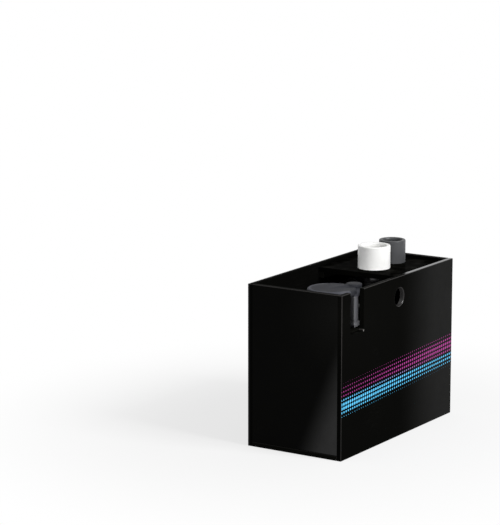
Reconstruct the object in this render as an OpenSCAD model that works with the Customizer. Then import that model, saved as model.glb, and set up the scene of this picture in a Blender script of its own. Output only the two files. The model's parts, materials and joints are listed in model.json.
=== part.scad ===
// Pump and filter box for an aquarium: a black sheet case with a pump hung in its front left corner,
// a filter cassette that lifts out, and two pipe sockets on a deck under the rim.
// Millimetres. X runs along the front to the right, Y to the back, Z up. The origin is under the middle.

/* [Case] */
// Length of the case along its front
box_l = 228; // [210:1:280]
// Depth of the case from front to back
box_w = 110; // [104:1:150]
// Height of the case to its rim
box_h = 168; // [150:1:220]
// Thickness of the outer sheets, the pump shelf and the deck
sheet_t = 5; // [4:0.5:6]
// Broken edge of the outer sheets
edge_break = 0.5; // [0.2:0.1:0.8]
// Thickness of the inner sheets
inner_t = 4; // [3:0.5:5]

/* [Front openings] */
// Bore of the round port
port_d = 19; // [14:0.5:24]
// Drop from the rim to the middle of the port
port_drop = 21.3; // [18:0.1:36]
// Width of the notch
notch_w = 26; // [16:0.5:30]
// Depth of the notch below the rim; the pump shelf lies level with its sill
notch_depth = 42.5; // [41:0.5:56]
// Sheet left of the notch
notch_in = 16.4; // [12:0.2:20]
// Corner radius at the bottom of the notch
notch_r = 3; // [1:0.5:8]

/* [Pump bay] */
// Clear length of the pump bay
bay_l = 69; // [66:1:76]
// Shelf left behind the pump
shelf_margin = 8; // [5:0.5:12]
// Height of the kerb along the front of the pump shelf
kerb_h = 1.2; // [0.8:0.1:2]
// Width of a slot in the comb weir
comb_slot = 4; // [2:0.5:5]
// Step from slot to slot in the comb weir
comb_pitch = 8; // [7:0.5:12]
// Depth of the slots in the comb weir
comb_depth = 14; // [8:1:20]

/* [Filter] */
// Thickness of the filter cassette
cassette_t = 26; // [18:1:32]
// Wall of the cassette
cassette_wall = 2; // [1.5:0.25:3]
// Width of a slot in the cassette
slot_w = 3; // [2:0.25:4]
// Step from slot to slot in the cassette
slot_pitch = 6; // [5:0.5:9]
// Plain band above and below the slots
slot_band = 9; // [6:1:16]
// Width of a strap across the top of the cassette
strap_w = 8; // [7:0.5:12]
// Thickness of a strap
strap_t = 3; // [2:0.5:5]
// Diameter of the grip bar
grip_d = 6; // [4:0.5:7]
// Distance between the posts of the grip
grip_l = 40; // [30:1:50]
// Height of the grip bar over the cassette
grip_h = 18; // [14:1:28]
// Width of a guide rail
rail_w = 5.5; // [4:0.5:8]
// Depth of a guide rail
rail_d = 6; // [4:0.5:9]
// Clearance round the cassette
cassette_gap = 0.6; // [0.4:0.1:1.2]
// Clearance round the sponge
sponge_gap = 0.3; // [0.2:0.1:0.6]
// Width of the pipe passage behind the filter
passage_w = 17; // [12:1:18]
// How far the guide ends below the comb weir
guide_drop = 7; // [3:1:14]

/* [Pipe sockets] */
// Drop from the rim to the top of the deck
deck_drop = 4; // [2:0.5:6]
// Length of the deck from the right sheet
deck_l = 95; // [85:1:100]
// Height and depth of a ledge under the deck
ledge = 6; // [4:0.5:8]
// Distance from the right sheet to the return axis
return_in = 28; // [24:1:32]
// Distance between the two socket axes
socket_step = 38; // [36:1:42]
// How far the sockets stand behind the middle
socket_back = 0; // [-4:0.5:3]
// Height of the sockets over the deck
socket_h = 24; // [22:1:34]
// Depth of a socket bore
socket_depth = 18; // [14:1:20]
// Bevel round the mouth of a socket
socket_lip = 1; // [0.5:0.25:1.5]
// Outer diameter of the drain socket
drain_od = 34; // [32:0.5:36]
// Bore of the drain socket
drain_bore = 25.2; // [24:0.1:26]
// Diameter of the drain tail through the deck
drain_tail = 24; // [23:0.5:25]
// Outer diameter of the drain pipe
drain_pipe_d = 20; // [18:0.5:20.5]
// Height of the drain pipe's end over the base
drain_end = 37; // [20:1:60]
// Outer diameter of the return socket
return_od = 28; // [25:0.5:30]
// Bore of the return socket
return_bore = 20.2; // [19:0.1:21]
// Diameter of the return tail through the deck
return_tail = 18; // [17:0.5:19]
// Wall of the tails and of the drain pipe
tail_wall = 1.5; // [1.2:0.1:2]
// Height of a nut under the deck
nut_h = 5; // [4:0.5:6]
// Thickness of a rubber washer under the deck
washer_t = 2; // [1:0.5:2.5]
// Width of a nut and washer beyond the tail
nut_rim = 4.5; // [3:0.5:5]

/* [Delivery pipe] */
// Outer diameter of the delivery pipe
delivery_d = 15; // [13:0.5:16]
// Wall of the delivery pipe
delivery_wall = 1.5; // [1.2:0.1:2]
// Bend radius of the delivery pipe
bend_r = 16; // [14:0.5:18]
// Distance from the back sheet to the delivery axis
delivery_in = 12; // [10:0.5:13]
// Length of a glued collar where a straight length meets a bend
joint_l = 4; // [3:0.5:5]
// Wall of a glued collar
joint_wall = 1.5; // [1:0.1:2]
// How far the pipe slips over the outlet and into the elbow
slip = 8; // [5:0.5:9]
// Wall of the return elbow
elbow_wall = 2; // [1.5:0.25:2.5]
// Width of a pipe clip
clip_w = 8; // [5:0.5:12]
// Wall of a pipe clip
clip_wall = 2.2; // [1.5:0.1:3]
// Mouth of a pipe clip, as an angle
clip_mouth = 100; // [70:5:120]

/* [Pump head] */
// Diameter of the round head
head_d = 49; // [46:0.5:56]
// Thickness of the round head
head_t = 6; // [5:0.5:8]
// Radius of the head's rounded edge
head_edge = 2; // [0.5:0.5:3]
// Drop from the rim to the top of the head
head_drop = 0.5; // [0:0.5:2]
// Gap between the head and the sheets
head_gap = 0.8; // [0.4:0.1:1.5]
// Diameter of the elbow moulded on the head
elbow_d = 16; // [14:0.2:18]
// Height of the elbow over the rim
elbow_rise = 1.6; // [0.8:0.2:4]
// Height of the elbow from the foot of its leg to its flat top
elbow_h = 12.5; // [11.5:0.5:14]
// Height of the elbow's tapered leg
elbow_leg = 5; // [4:0.5:6]
// Depth of the intake pipe's seat in the leg
leg_slip = 4.5; // [3.5:0.25:5]
// Thickness of the elbow's cap
cap_t = 3; // [2.5:0.25:4]
// Groove under the elbow's cap, in height and depth
cap_groove = 0.8; // [0.4:0.1:1.2]
// Bevel round the top of the elbow's cap
cap_bevel = 0.8; // [0.4:0.1:1.2]
// Diameter of the arm between the disc and the elbow
arm_d = 11; // [10:0.25:12]
// Direction from the pump axis to the intake axis, as an angle
arm_angle = -29; // [-35:1:-10]
// Gap between the casing and the collar on the intake pipe
arm_gap = 0.6; // [0.5:0.1:2]
// Outer diameter of the intake pipe
intake_d = 9; // [8:0.2:10]
// Wall of the intake pipe
intake_wall = 1.3; // [1:0.1:1.6]
// Wall of the collar on the intake pipe
collar_wall = 1.8; // [1.2:0.1:2]
// Height of the collar on the intake pipe
collar_h = 4; // [2:0.5:8]
// Length of the strainer
strainer_l = 40; // [30:1:50]
// Wall of the strainer
strainer_wall = 1.2; // [1:0.1:1.4]
// Height of the strainer's foot over the base
strainer_foot = 7; // [4:1:12]
// Slots round the strainer
strainer_slots = 10; // [6:1:12]
// Width of a slot in the strainer
strainer_slot = 1.6; // [1:0.1:2]
// Thickness of the sealing ring round the plug
ring_d = 2; // [1.5:0.25:2.5]
// Depth of the sealing ring below the top of the casing
ring_drop = 6; // [4:0.5:8]
// Height of the boss for the upper bush
boss_h = 7; // [6:0.5:9]
// Wall of the boss
boss_wall = 1.3; // [1:0.1:1.8]
// Wall of the upper bush
bush_wall = 1.1; // [0.8:0.1:1.5]

/* [Pump] */
// Outer diameter of the casing
casing_d = 38; // [37:0.5:40]
// Wall of the casing
casing_wall = 2.5; // [2:0.1:3]
// Floor of the casing
floor_t = 5; // [4.5:0.5:7]
// Outer diameter of the outlet
outlet_d = 11.8; // [11:0.2:11.8]
// Wall of the outlet
outlet_wall = 1.5; // [1.2:0.1:2]
// Distance between the pump axis and the outlet axis
outlet_off = 11; // [10:0.5:11]
// Length of the outlet past the casing
outlet_l = 11; // [9:0.5:14]
// Outer diameter of the motor can
motor_d = 32; // [31:0.5:33]
// Length of the motor can
motor_l = 62; // [60:1:72]
// Wall of the motor can
motor_wall = 2; // [1.5:0.25:2.5]
// Thickness of the motor can's lid
motor_lid = 5; // [4:0.5:6]
// Thickness of the motor's end cap
end_cap_t = 4; // [3:0.5:6]
// Height of the spigot on the end cap
end_spigot = 4; // [3:0.5:6]
// Diameter of the cable gland
gland_d = 10; // [8:0.5:12]
// Hole through the cable gland
gland_hole = 5; // [3:0.5:6]
// Outer diameter of the impeller
impeller_d = 26; // [22:0.5:28]
// Thickness of the impeller's plate
plate_t = 1.4; // [1:0.1:2]
// Height of the vanes
vane_h = 9; // [7:0.5:11]
// Thickness of a vane
vane_t = 1.2; // [0.8:0.1:1.6]
// Vanes on the impeller
vane_count = 6; // [4:1:8]
// Diameter of the impeller hub
hub_d = 8; // [7:0.5:9]
// Diameter of the shaft
shaft_d = 3; // [2.5:0.25:3.5]
// How far the shaft ends below the top of its boss
shaft_short = 2; // [1.5:0.25:4]
// Height of the lower bush
bush_h = 5; // [4:0.5:6]
// Outer diameter of the magnet
magnet_d = 13; // [12:0.2:13.4]
// Length of the magnet
magnet_l = 24; // [18:1:28]
// Length of the impeller's sleeve below the magnet
magnet_foot = 5; // [3:0.5:8]
// Diameter of the sleeve inside the magnet
sleeve_d = 7.3; // [6.5:0.1:8]
// Shoulder between the sleeve and the neck above the magnet
neck_step = 0.8; // [0.5:0.1:1.2]
// Wall of the rotor tube
tube_wall = 0.7; // [0.6:0.1:1]
// Gap between the rotor tube and the spigot of the end cap
tube_foot = 2; // [1:0.5:4]
// Width of the flange on the rotor tube
flange_w = 1.6; // [1.2:0.1:2]
// Thickness of the flange
flange_t = 2; // [1.5:0.25:2.5]
// Width of the seal round the flange
flange_seal = 1.4; // [1:0.1:2]
// Diameter of a casing screw
screw_d = 3; // [2.5:0.25:3.5]
// Diameter of a screw's head
screw_head = 5.2; // [4.6:0.1:6]
// How far a screw ends short of the underside of the lid
screw_short = 1; // [0.5:0.25:2]
// Poles of the stator
pole_count = 4; // [2:1:6]
// Share of the turn that the coils fill
coil_share = 0.45; // [0.3:0.05:0.6]
// Play of a coil in its slot, as an angle
coil_play = 2; // [1:0.5:4]
// How far the coils reach past the core
coil_over = 4; // [2:0.5:6]

/* [Clearances] */
// Gap between parts that slide past or run close
run_gap = 0.4; // [0.3:0.1:0.6]
// Radial play of a shaft or a plugged pipe
fit_gap = 0.05; // [0.02:0.01:0.08]

/* [Hidden] */
$fn = 64;

black = [0.05, 0.05, 0.05];
dark_grey = [0.16, 0.16, 0.17];
pump_grey = [0.33, 0.34, 0.37];
pipe_grey = [0.42, 0.43, 0.45];
white = [0.95, 0.95, 0.94];
rubber = [0.08, 0.08, 0.08];
steel = [0.6, 0.6, 0.62];
copper = [0.72, 0.42, 0.2];
ceramic = [0.9, 0.88, 0.82];
ferrite = [0.2, 0.19, 0.19];
sponge_blue = [0.16, 0.3, 0.45];
// How far a cut runs past the face that it opens
over = 1;
// A round arm is a little slimmer than the ball that it runs into
arm_ratio = 0.95;

// Inner faces of the case
left_in = -box_l / 2 + sheet_t;
right_in = box_l / 2 - sheet_t;
front_in = -box_w / 2 + sheet_t;
back_in = box_w / 2 - sheet_t;
inner_w = back_in - front_in;
base_top = sheet_t;

// Levels that hang from the rim
sill_z = box_h - notch_depth;
shelf_top = sill_z;
weir_top = shelf_top - sheet_t;
guide_top = weir_top - guide_drop;
deck_top = box_h - deck_drop;
deck_low = deck_top - sheet_t;
head_top = box_h - head_drop;
casing_top = head_top - head_t;

// Front openings
port_z = box_h - port_drop;
notch_x = -box_l / 2 + notch_in + notch_w / 2;

// Filter bay, from the weir to the right
weir_x = left_in + bay_l;
filter_x = weir_x + inner_t;
cassette_x = filter_x + rail_w + cassette_gap;
filter_end = cassette_x + cassette_t + cassette_gap + rail_w;
guide_y = back_in - passage_w - inner_t;
cassette_y = front_in + cassette_gap;
cassette_l = guide_y - cassette_gap - cassette_y;
cassette_top = guide_top + guide_drop / 2;
cassette_mid = cassette_y + cassette_l / 2;
strap_low = cassette_top - strap_t;
grip_z = cassette_top + grip_h;

// Deck and sockets
deck_x = right_in - deck_l;
return_x = right_in - return_in;
drain_x = return_x - socket_step;
socket_top = deck_top + socket_h;
nut_top = deck_low - washer_t;
nut_low = nut_top - nut_h;

// Pump: head and casing share one axis, and the intake pipe stands clear of the casing at the end of an arm
casing_r = casing_d / 2;
chamber_r = casing_r - casing_wall;
elbow_r = elbow_d / 2;
pump_x = left_in + head_gap + head_d / 2;
pump_y = front_in + head_gap + head_d / 2;
collar_r = intake_d / 2 + collar_wall;
arm_l = casing_r + arm_gap + collar_r;
intake_x = pump_x + arm_l * cos(arm_angle);
intake_y = pump_y + arm_l * sin(arm_angle);
cap_top = box_h + elbow_rise;
cap_low = cap_top - cap_t;
arm_r = arm_d / 2;
elbow_z = cap_top - cap_bevel / 2 - arm_r;
arm_z = head_top - cap_bevel / 2 - arm_r;
duct_r = intake_d / 2 - intake_wall;
leg_low = cap_top - elbow_h;
leg_r = intake_d / 2 + strainer_wall;
shelf_back = pump_y + casing_r + shelf_margin;
kerb_w = min(pump_y - casing_r, intake_y - collar_r) - front_in - run_gap;

// Rotor, from the casing floor up and down
floor_top = shelf_top + floor_t;
plate_low = floor_top + 2 * run_gap;
vane_low = plate_low + plate_t;
vane_top = vane_low + vane_h;
plug_low = vane_top + 4 * run_gap;
outlet_z = (floor_top + plug_low) / 2;
tube_in = magnet_d / 2 + 2 * run_gap;
tube_out = tube_in + tube_wall;
motor_low = shelf_top - motor_l;
motor_in = motor_d / 2 - motor_wall;
tube_low = motor_low + end_spigot + tube_foot;
tube_floor = tube_low + 2 * tube_wall;
rotor_low = tube_floor + bush_h + run_gap / 2;
sleeve_r = sleeve_d / 2;
neck_r = sleeve_r + neck_step;
magnet_low = rotor_low + magnet_foot;
magnet_top = magnet_low + magnet_l;
flange_r = tube_out + flange_w;
seal_r = flange_r + flange_seal;
shaft_r = shaft_d / 2;
shaft_low = tube_floor + bush_h / 3;
boss_bush = shaft_r + bush_wall;
boss_r = boss_bush + boss_wall;
boss_low = plug_low + run_gap;
shaft_top = boss_low + boss_h - shaft_short;
eye_r = impeller_d / 3;
plug_r = chamber_r - run_gap;
ring_r = ring_d / 2;
ring_z = casing_top - ring_drop;
screw_r = screw_d / 2;
screw_head_r = screw_head / 2;
screw_ring = (seal_r + chamber_r) / 2;
screw_l = floor_t + motor_lid - screw_short;
core_out = motor_in - run_gap;
core_in = tube_out + run_gap;
coil_angle = coil_share * 360 / pole_count;

// Delivery run, at the height of the outlet
outlet_x = pump_x + outlet_off;
outlet_end = pump_y + casing_r + outlet_l;
delivery_y = back_in - delivery_in;
delivery_r = delivery_d / 2;
turn_y = delivery_y - bend_r;
tail_r = return_tail / 2;
elbow_out = (max(tail_r, delivery_r) + elbow_wall) / arm_ratio;
elbow_bore = min(tail_r, delivery_r) - tail_wall;
tail_seat = outlet_z + elbow_bore;
elbow_top = nut_low - run_gap;
pipe_seat = socket_back + tail_r + run_gap;
elbow_mouth = pipe_seat + slip;
clip_r = delivery_r + run_gap;

// A sheet with every edge broken: three bevelled outlines, one along each axis
module sheet(low, size) {
    function outline(w, h) = [
        [edge_break, 0], [w - edge_break, 0], [w, edge_break], [w, h - edge_break],
        [w - edge_break, h], [edge_break, h], [0, h - edge_break], [0, edge_break]
    ];
    translate(low) intersection() {
        linear_extrude(size.z) polygon(outline(size.x, size.y));
        translate([0, size.y, 0]) rotate([90, 0, 0]) linear_extrude(size.y) polygon(outline(size.x, size.z));
        rotate([90, 0, 90]) linear_extrude(size.x) polygon(outline(size.y, size.z));
    }
}

module block(low, size) {
    translate(low) cube(size);
}

module tube(low, h, outer, bore) {
    translate([0, 0, low]) difference() {
        cylinder(r = outer, h = h);
        translate([0, 0, -over]) cylinder(r = bore, h = h + 2 * over);
    }
}

module at_pump() {
    translate([pump_x, pump_y, 0]) children();
}

module at_intake() {
    translate([intake_x, intake_y, 0]) children();
}

module at_drain() {
    translate([drain_x, socket_back, 0]) children();
}

module at_return() {
    translate([return_x, socket_back, 0]) children();
}

module along_y(x, y, z) {
    translate([x, y, z]) rotate([-90, 0, 0]) children();
}

// Case
module base_plate() {
    color(black) sheet([-box_l / 2, front_in, 0], [box_l, inner_w, sheet_t]);
}

module front_panel() {
    color(black) difference() {
        sheet([-box_l / 2, front_in - sheet_t, 0], [box_l, sheet_t, box_h]);
        along_y(0, front_in - sheet_t - over, port_z) cylinder(d = port_d, h = sheet_t + 2 * over);
        along_y(0, front_in - sheet_t, port_z)
            cylinder(d1 = port_d + 2 * edge_break, d2 = port_d, h = edge_break);
        along_y(0, front_in - edge_break, port_z)
            cylinder(d1 = port_d, d2 = port_d + 2 * edge_break, h = edge_break);
        translate([notch_x, front_in + over, sill_z]) rotate([90, 0, 0]) linear_extrude(sheet_t + 2 * over) {
            translate([-notch_w / 2, notch_r]) square([notch_w, notch_depth]);
            translate([-notch_w / 2 + notch_r, 0]) square([notch_w - 2 * notch_r, notch_depth]);
            for (side = [-1, 1]) translate([side * (notch_w / 2 - notch_r), notch_r]) circle(notch_r);
        }
    }
}

module back_panel() {
    color(black) sheet([-box_l / 2, back_in, 0], [box_l, sheet_t, box_h]);
}

module left_panel() {
    color(black) sheet([left_in - sheet_t, front_in, base_top], [sheet_t, inner_w, box_h - base_top]);
}

module right_panel() {
    color(black) sheet([right_in, front_in, base_top], [sheet_t, inner_w, box_h - base_top]);
}

// Sheets inside the case
module comb_weir() {
    slots = floor((inner_w - comb_pitch) / comb_pitch);
    first = (inner_w - (slots - 1) * comb_pitch - comb_slot) / 2;
    color(black) difference() {
        block([weir_x, front_in, base_top], [inner_t, inner_w, weir_top - base_top]);
        for (i = [0 : slots - 1])
            block([weir_x - over, front_in + first + i * comb_pitch, weir_top - comb_depth],
                [inner_t + 2 * over, comb_slot, comb_depth + over]);
    }
}

module pump_shelf() {
    color(black) difference() {
        union() {
            block([left_in, front_in, weir_top], [bay_l + inner_t, shelf_back - front_in, sheet_t]);
            block([left_in, front_in, weir_top], [bay_l + inner_t, kerb_w, sheet_t + kerb_h]);
        }
        at_pump() translate([0, 0, weir_top - over])
            cylinder(r = motor_d / 2 + run_gap, h = sheet_t + 2 * over);
        at_intake() translate([0, 0, weir_top - over])
            cylinder(r = intake_d / 2 + strainer_wall + run_gap, h = sheet_t + 2 * over);
    }
}

module filter_guide() {
    color(black) translate([filter_x, guide_y, base_top]) linear_extrude(guide_top - base_top) polygon([
        [0, 0], [filter_end - filter_x, 0], [filter_end - filter_x, back_in - guide_y],
        [filter_end - filter_x - inner_t, back_in - guide_y],
        [filter_end - filter_x - inner_t, inner_t], [0, inner_t]
    ]);
}

module cassette_rails() {
    color(black) for (x = [filter_x, filter_end - rail_w], y = [front_in, guide_y - rail_d])
        block([x, y, base_top], [rail_w, rail_d, guide_top - base_top]);
}

module deck_ledges() {
    color(black) for (y = [front_in, back_in - ledge])
        block([deck_x, y, deck_low - ledge], [deck_l, ledge, ledge]);
}

module pipe_deck() {
    color(black) difference() {
        block([deck_x, front_in, deck_low], [deck_l, inner_w, sheet_t]);
        at_drain() translate([0, 0, deck_low - over])
            cylinder(d = drain_tail + 2 * run_gap, h = sheet_t + 2 * over);
        at_return() translate([0, 0, deck_low - over])
            cylinder(d = return_tail + 2 * run_gap, h = sheet_t + 2 * over);
    }
}

// Sockets through the deck
module socket(outer, bore, tail, tail_bore, tail_low) {
    difference() {
        union() {
            translate([0, 0, deck_top]) rotate_extrude() polygon([
                [0, 0], [outer / 2, 0], [outer / 2, socket_h - socket_lip],
                [outer / 2 - socket_lip, socket_h], [0, socket_h]
            ]);
            translate([0, 0, tail_low]) cylinder(d = tail, h = deck_top - tail_low);
        }
        translate([0, 0, socket_top - socket_depth]) cylinder(d = bore, h = socket_depth + over);
        translate([0, 0, tail_low - over]) cylinder(d = tail_bore, h = socket_top - tail_low);
    }
}

module washer(tail) {
    tube(nut_top, washer_t, tail / 2 + nut_rim, tail / 2 + fit_gap);
}

module hex_nut(tail) {
    translate([0, 0, nut_low]) difference() {
        cylinder(r = (tail / 2 + nut_rim) / cos(30), h = nut_h, $fn = 6);
        translate([0, 0, -over]) cylinder(r = tail / 2 + fit_gap, h = nut_h + 2 * over);
    }
}

module drain_socket() {
    color(white) at_drain()
        socket(drain_od, drain_bore, drain_tail, drain_pipe_d + 2 * fit_gap, nut_low - slip);
}

module drain_seal() {
    color(rubber) at_drain() washer(drain_tail);
}

module drain_nut() {
    color(dark_grey) at_drain() hex_nut(drain_tail);
}

module drain_pipe() {
    low = base_top + drain_end;
    color(dark_grey) at_drain() tube(low, deck_top - low, drain_pipe_d / 2, drain_pipe_d / 2 - tail_wall);
}

module return_socket() {
    color(pipe_grey) at_return()
        socket(return_od, return_bore, return_tail, return_tail - 2 * tail_wall, tail_seat);
}

module return_seal() {
    color(rubber) at_return() washer(return_tail);
}

module return_nut() {
    color(pipe_grey) at_return() hex_nut(return_tail);
}

module return_elbow() {
    color(dark_grey) difference() {
        union() {
            at_return() translate([0, 0, outlet_z]) sphere(elbow_out);
            at_return() translate([0, 0, outlet_z])
                cylinder(r = arm_ratio * elbow_out, h = elbow_top - outlet_z);
            along_y(return_x, socket_back, outlet_z)
                cylinder(r = arm_ratio * elbow_out, h = elbow_mouth - socket_back);
        }
        at_return() translate([0, 0, outlet_z]) sphere(elbow_bore);
        at_return() translate([0, 0, outlet_z]) cylinder(r = arm_ratio * elbow_bore, h = elbow_bore + over);
        at_return() translate([0, 0, tail_seat])
            cylinder(r = tail_r + fit_gap, h = elbow_top - tail_seat + over);
        along_y(return_x, socket_back, outlet_z)
            cylinder(r = arm_ratio * elbow_bore, h = pipe_seat - socket_back + over);
        along_y(return_x, pipe_seat, outlet_z) cylinder(r = delivery_r + fit_gap, h = slip + over);
    }
}

// The delivery pipe: out of the casing to the back, along the back sheet, and forward into the elbow
module pipe_section() {
    difference() {
        circle(delivery_r);
        circle(delivery_r - delivery_wall);
    }
}

module pipe_bend() {
    rotate_extrude(angle = 90) translate([bend_r, 0]) pipe_section();
}

module pipe_collar() {
    translate([0, 0, -joint_l / 4])
        tube(0, joint_l, delivery_r + joint_wall, delivery_r - delivery_wall / 2);
}

module delivery_pipe() {
    start = outlet_end - slip;
    color(dark_grey) {
        along_y(outlet_x, start, outlet_z) linear_extrude(turn_y - start) pipe_section();
        along_y(outlet_x, turn_y, outlet_z) pipe_collar();
        translate([outlet_x + bend_r, turn_y, outlet_z]) rotate([0, 0, 90]) pipe_bend();
        translate([outlet_x + bend_r, delivery_y, outlet_z]) rotate([0, -90, 0]) pipe_collar();
        translate([outlet_x + bend_r, delivery_y, outlet_z]) rotate([0, 90, 0])
            linear_extrude(return_x - outlet_x - 2 * bend_r) pipe_section();
        translate([return_x - bend_r, delivery_y, outlet_z]) rotate([0, 90, 0]) pipe_collar();
        translate([return_x - bend_r, turn_y, outlet_z]) pipe_bend();
        along_y(return_x, turn_y, outlet_z) pipe_collar();
        along_y(return_x, pipe_seat, outlet_z) linear_extrude(turn_y - pipe_seat) pipe_section();
    }
}

module pipe_clip(x) {
    half = clip_mouth / 2;
    reach = 2 * (clip_r + clip_wall);
    translate([x - clip_w / 2, delivery_y, outlet_z]) rotate([90, 0, 90])
        linear_extrude(clip_w) difference() {
        union() {
            circle(clip_r + clip_wall);
            translate([0, -clip_r / 2]) square([back_in - delivery_y, clip_r]);
        }
        circle(clip_r);
        polygon([[0, 0], [-reach * cos(half), reach * sin(half)], [-reach * cos(half), -reach * sin(half)]]);
    }
}

module pipe_clips() {
    color(dark_grey) {
        pipe_clip(weir_x);
        pipe_clip(deck_x + clip_w);
    }
}

// Pump, from the shelf
module screw_places() {
    at_pump() for (a = [0 : 120 : 240]) rotate([0, 0, a + arm_angle]) translate([screw_ring, 0, floor_top])
        children();
}

module screw_shape(play) {
    cone = screw_head_r - screw_r;
    translate([0, 0, -screw_l]) cylinder(r = screw_r + play, h = screw_l);
    translate([0, 0, -cone]) cylinder(r1 = screw_r + play, r2 = screw_head_r + play, h = cone);
}

module pump_casing() {
    color(dark_grey) difference() {
        union() {
            at_pump() translate([0, 0, shelf_top]) cylinder(r = casing_r, h = casing_top - shelf_top);
            along_y(outlet_x, pump_y, outlet_z) cylinder(d = outlet_d, h = outlet_end - pump_y);
        }
        at_pump() translate([0, 0, floor_top]) cylinder(r = chamber_r, h = casing_top - floor_top + over);
        at_pump() translate([0, 0, shelf_top - over]) cylinder(r = tube_in, h = floor_t + 2 * over);
        at_pump() translate([0, 0, shelf_top - over])
            cylinder(r = seal_r + fit_gap, h = flange_t + fit_gap + over);
        along_y(outlet_x, pump_y, outlet_z)
            cylinder(r = outlet_d / 2 - outlet_wall, h = outlet_end - pump_y + over);
        screw_places() screw_shape(fit_gap);
    }
}

module casing_screws() {
    color(steel) screw_places() screw_shape(0);
}

module motor_can() {
    color(dark_grey) difference() {
        at_pump() translate([0, 0, motor_low]) cylinder(d = motor_d, h = motor_l);
        at_pump() translate([0, 0, motor_low - over]) cylinder(r = motor_in, h = motor_l - motor_lid + over);
        at_pump() translate([0, 0, shelf_top - motor_lid - over])
            cylinder(r = tube_out + fit_gap, h = motor_lid + 2 * over);
        screw_places() screw_shape(fit_gap);
    }
}

module motor_end_cap() {
    color(dark_grey) at_pump() difference() {
        union() {
            translate([0, 0, motor_low - end_cap_t]) cylinder(d = motor_d, h = end_cap_t);
            translate([0, 0, motor_low]) cylinder(r = motor_in - fit_gap, h = end_spigot);
        }
        translate([0, 0, motor_low - end_cap_t - over])
            cylinder(d = gland_hole, h = end_cap_t + end_spigot + 2 * over);
    }
}

module cable_gland() {
    top = motor_low - end_cap_t;
    flat_h = gland_d / 2;
    dome_h = gland_d / 2;
    color(rubber) at_pump() difference() {
        union() {
            translate([0, 0, top - flat_h]) cylinder(d = gland_d, h = flat_h, $fn = 6);
            translate([0, 0, top - flat_h - dome_h])
                cylinder(d1 = gland_hole + 2 * motor_wall, d2 = gland_d * cos(30), h = dome_h);
        }
        translate([0, 0, top - flat_h - dome_h - over])
            cylinder(d = gland_hole, h = flat_h + dome_h + 2 * over);
    }
}

module coil_sector(inner, outer, angle, low, high) {
    rotate([0, 0, -angle / 2]) rotate_extrude(angle = angle) translate([inner, low])
        square([outer - inner, high - low]);
}

module pole_places() {
    at_pump() for (i = [0 : pole_count - 1]) rotate([0, 0, i * 360 / pole_count]) children();
}

module stator_core() {
    slot_out = core_out - motor_wall;
    color(steel) difference() {
        at_pump() tube(magnet_low, magnet_l, core_out, core_in);
        pole_places() coil_sector(core_in - over, slot_out, coil_angle, magnet_low - over, magnet_top + over);
    }
}

module stator_coils() {
    slot_out = core_out - motor_wall;
    color(copper) pole_places() coil_sector(core_in + fit_gap, slot_out - fit_gap, coil_angle - coil_play,
        magnet_low - coil_over, magnet_top + coil_over);
}

module rotor_tube() {
    color(dark_grey) at_pump() difference() {
        union() {
            translate([0, 0, tube_low]) cylinder(r = tube_out, h = shelf_top + flange_t - tube_low);
            translate([0, 0, shelf_top]) cylinder(r = flange_r, h = flange_t);
        }
        translate([0, 0, tube_floor]) cylinder(r = tube_in, h = shelf_top - tube_floor + flange_t + over);
    }
}

module tube_seal() {
    color(rubber) at_pump() tube(shelf_top, flange_t, seal_r, flange_r + fit_gap);
}

module rotor_shaft() {
    color(ceramic) at_pump() translate([0, 0, shaft_low]) cylinder(r = shaft_r, h = shaft_top - shaft_low);
}

module lower_bush() {
    color(rubber) at_pump() difference() {
        translate([0, 0, tube_floor]) cylinder(r = tube_in - fit_gap, h = bush_h);
        translate([0, 0, shaft_low]) cylinder(r = shaft_r + fit_gap / 2, h = bush_h);
    }
}

// Head: a round moulding that swells along an arm into an elbow over the intake pipe
module head_disc() {
    at_pump() translate([0, 0, casing_top]) rotate_extrude() {
        square([head_d / 2, head_t - head_edge]);
        square([head_d / 2 - head_edge, head_t]);
        translate([head_d / 2 - head_edge, head_t - head_edge]) circle(head_edge);
    }
}

module along_arm(r) {
    rise = elbow_z - arm_z;
    translate([pump_x, pump_y, arm_z]) rotate([0, 0, arm_angle]) rotate([0, atan2(arm_l, rise), 0])
        cylinder(r = arm_ratio * r, h = norm([arm_l, rise]));
    translate([pump_x, pump_y, arm_z]) sphere(r);
    translate([intake_x, intake_y, elbow_z]) sphere(r);
}

// The elbow is turned: a tapered leg, a barrel, a groove and a flat cap
module head_elbow() {
    at_intake() rotate_extrude() polygon([
        [0, leg_low], [leg_r, leg_low], [elbow_r, leg_low + elbow_leg], [elbow_r, cap_low - cap_groove],
        [elbow_r - cap_groove, cap_low - cap_groove], [elbow_r - cap_groove, cap_low], [elbow_r, cap_low],
        [elbow_r, cap_top - cap_bevel], [elbow_r - cap_bevel, cap_top], [0, cap_top]
    ]);
}

module head_arm() {
    difference() {
        union() {
            along_arm(arm_r);
            head_elbow();
        }
        at_pump() translate([0, 0, leg_low - elbow_d])
            cylinder(r = casing_r + run_gap, h = casing_top - leg_low + elbow_d);
    }
}

module bush_spider() {
    at_pump() difference() {
        union() {
            translate([0, 0, boss_low]) cylinder(r = boss_r, h = boss_h);
            for (a = [0 : 120 : 240]) rotate([0, 0, a])
                translate([0, -vane_t / 2, boss_low]) cube([eye_r + vane_t, vane_t, boss_h]);
        }
        translate([0, 0, boss_low - over]) cylinder(r = boss_bush + fit_gap, h = boss_h - vane_t + over);
    }
}

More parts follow.
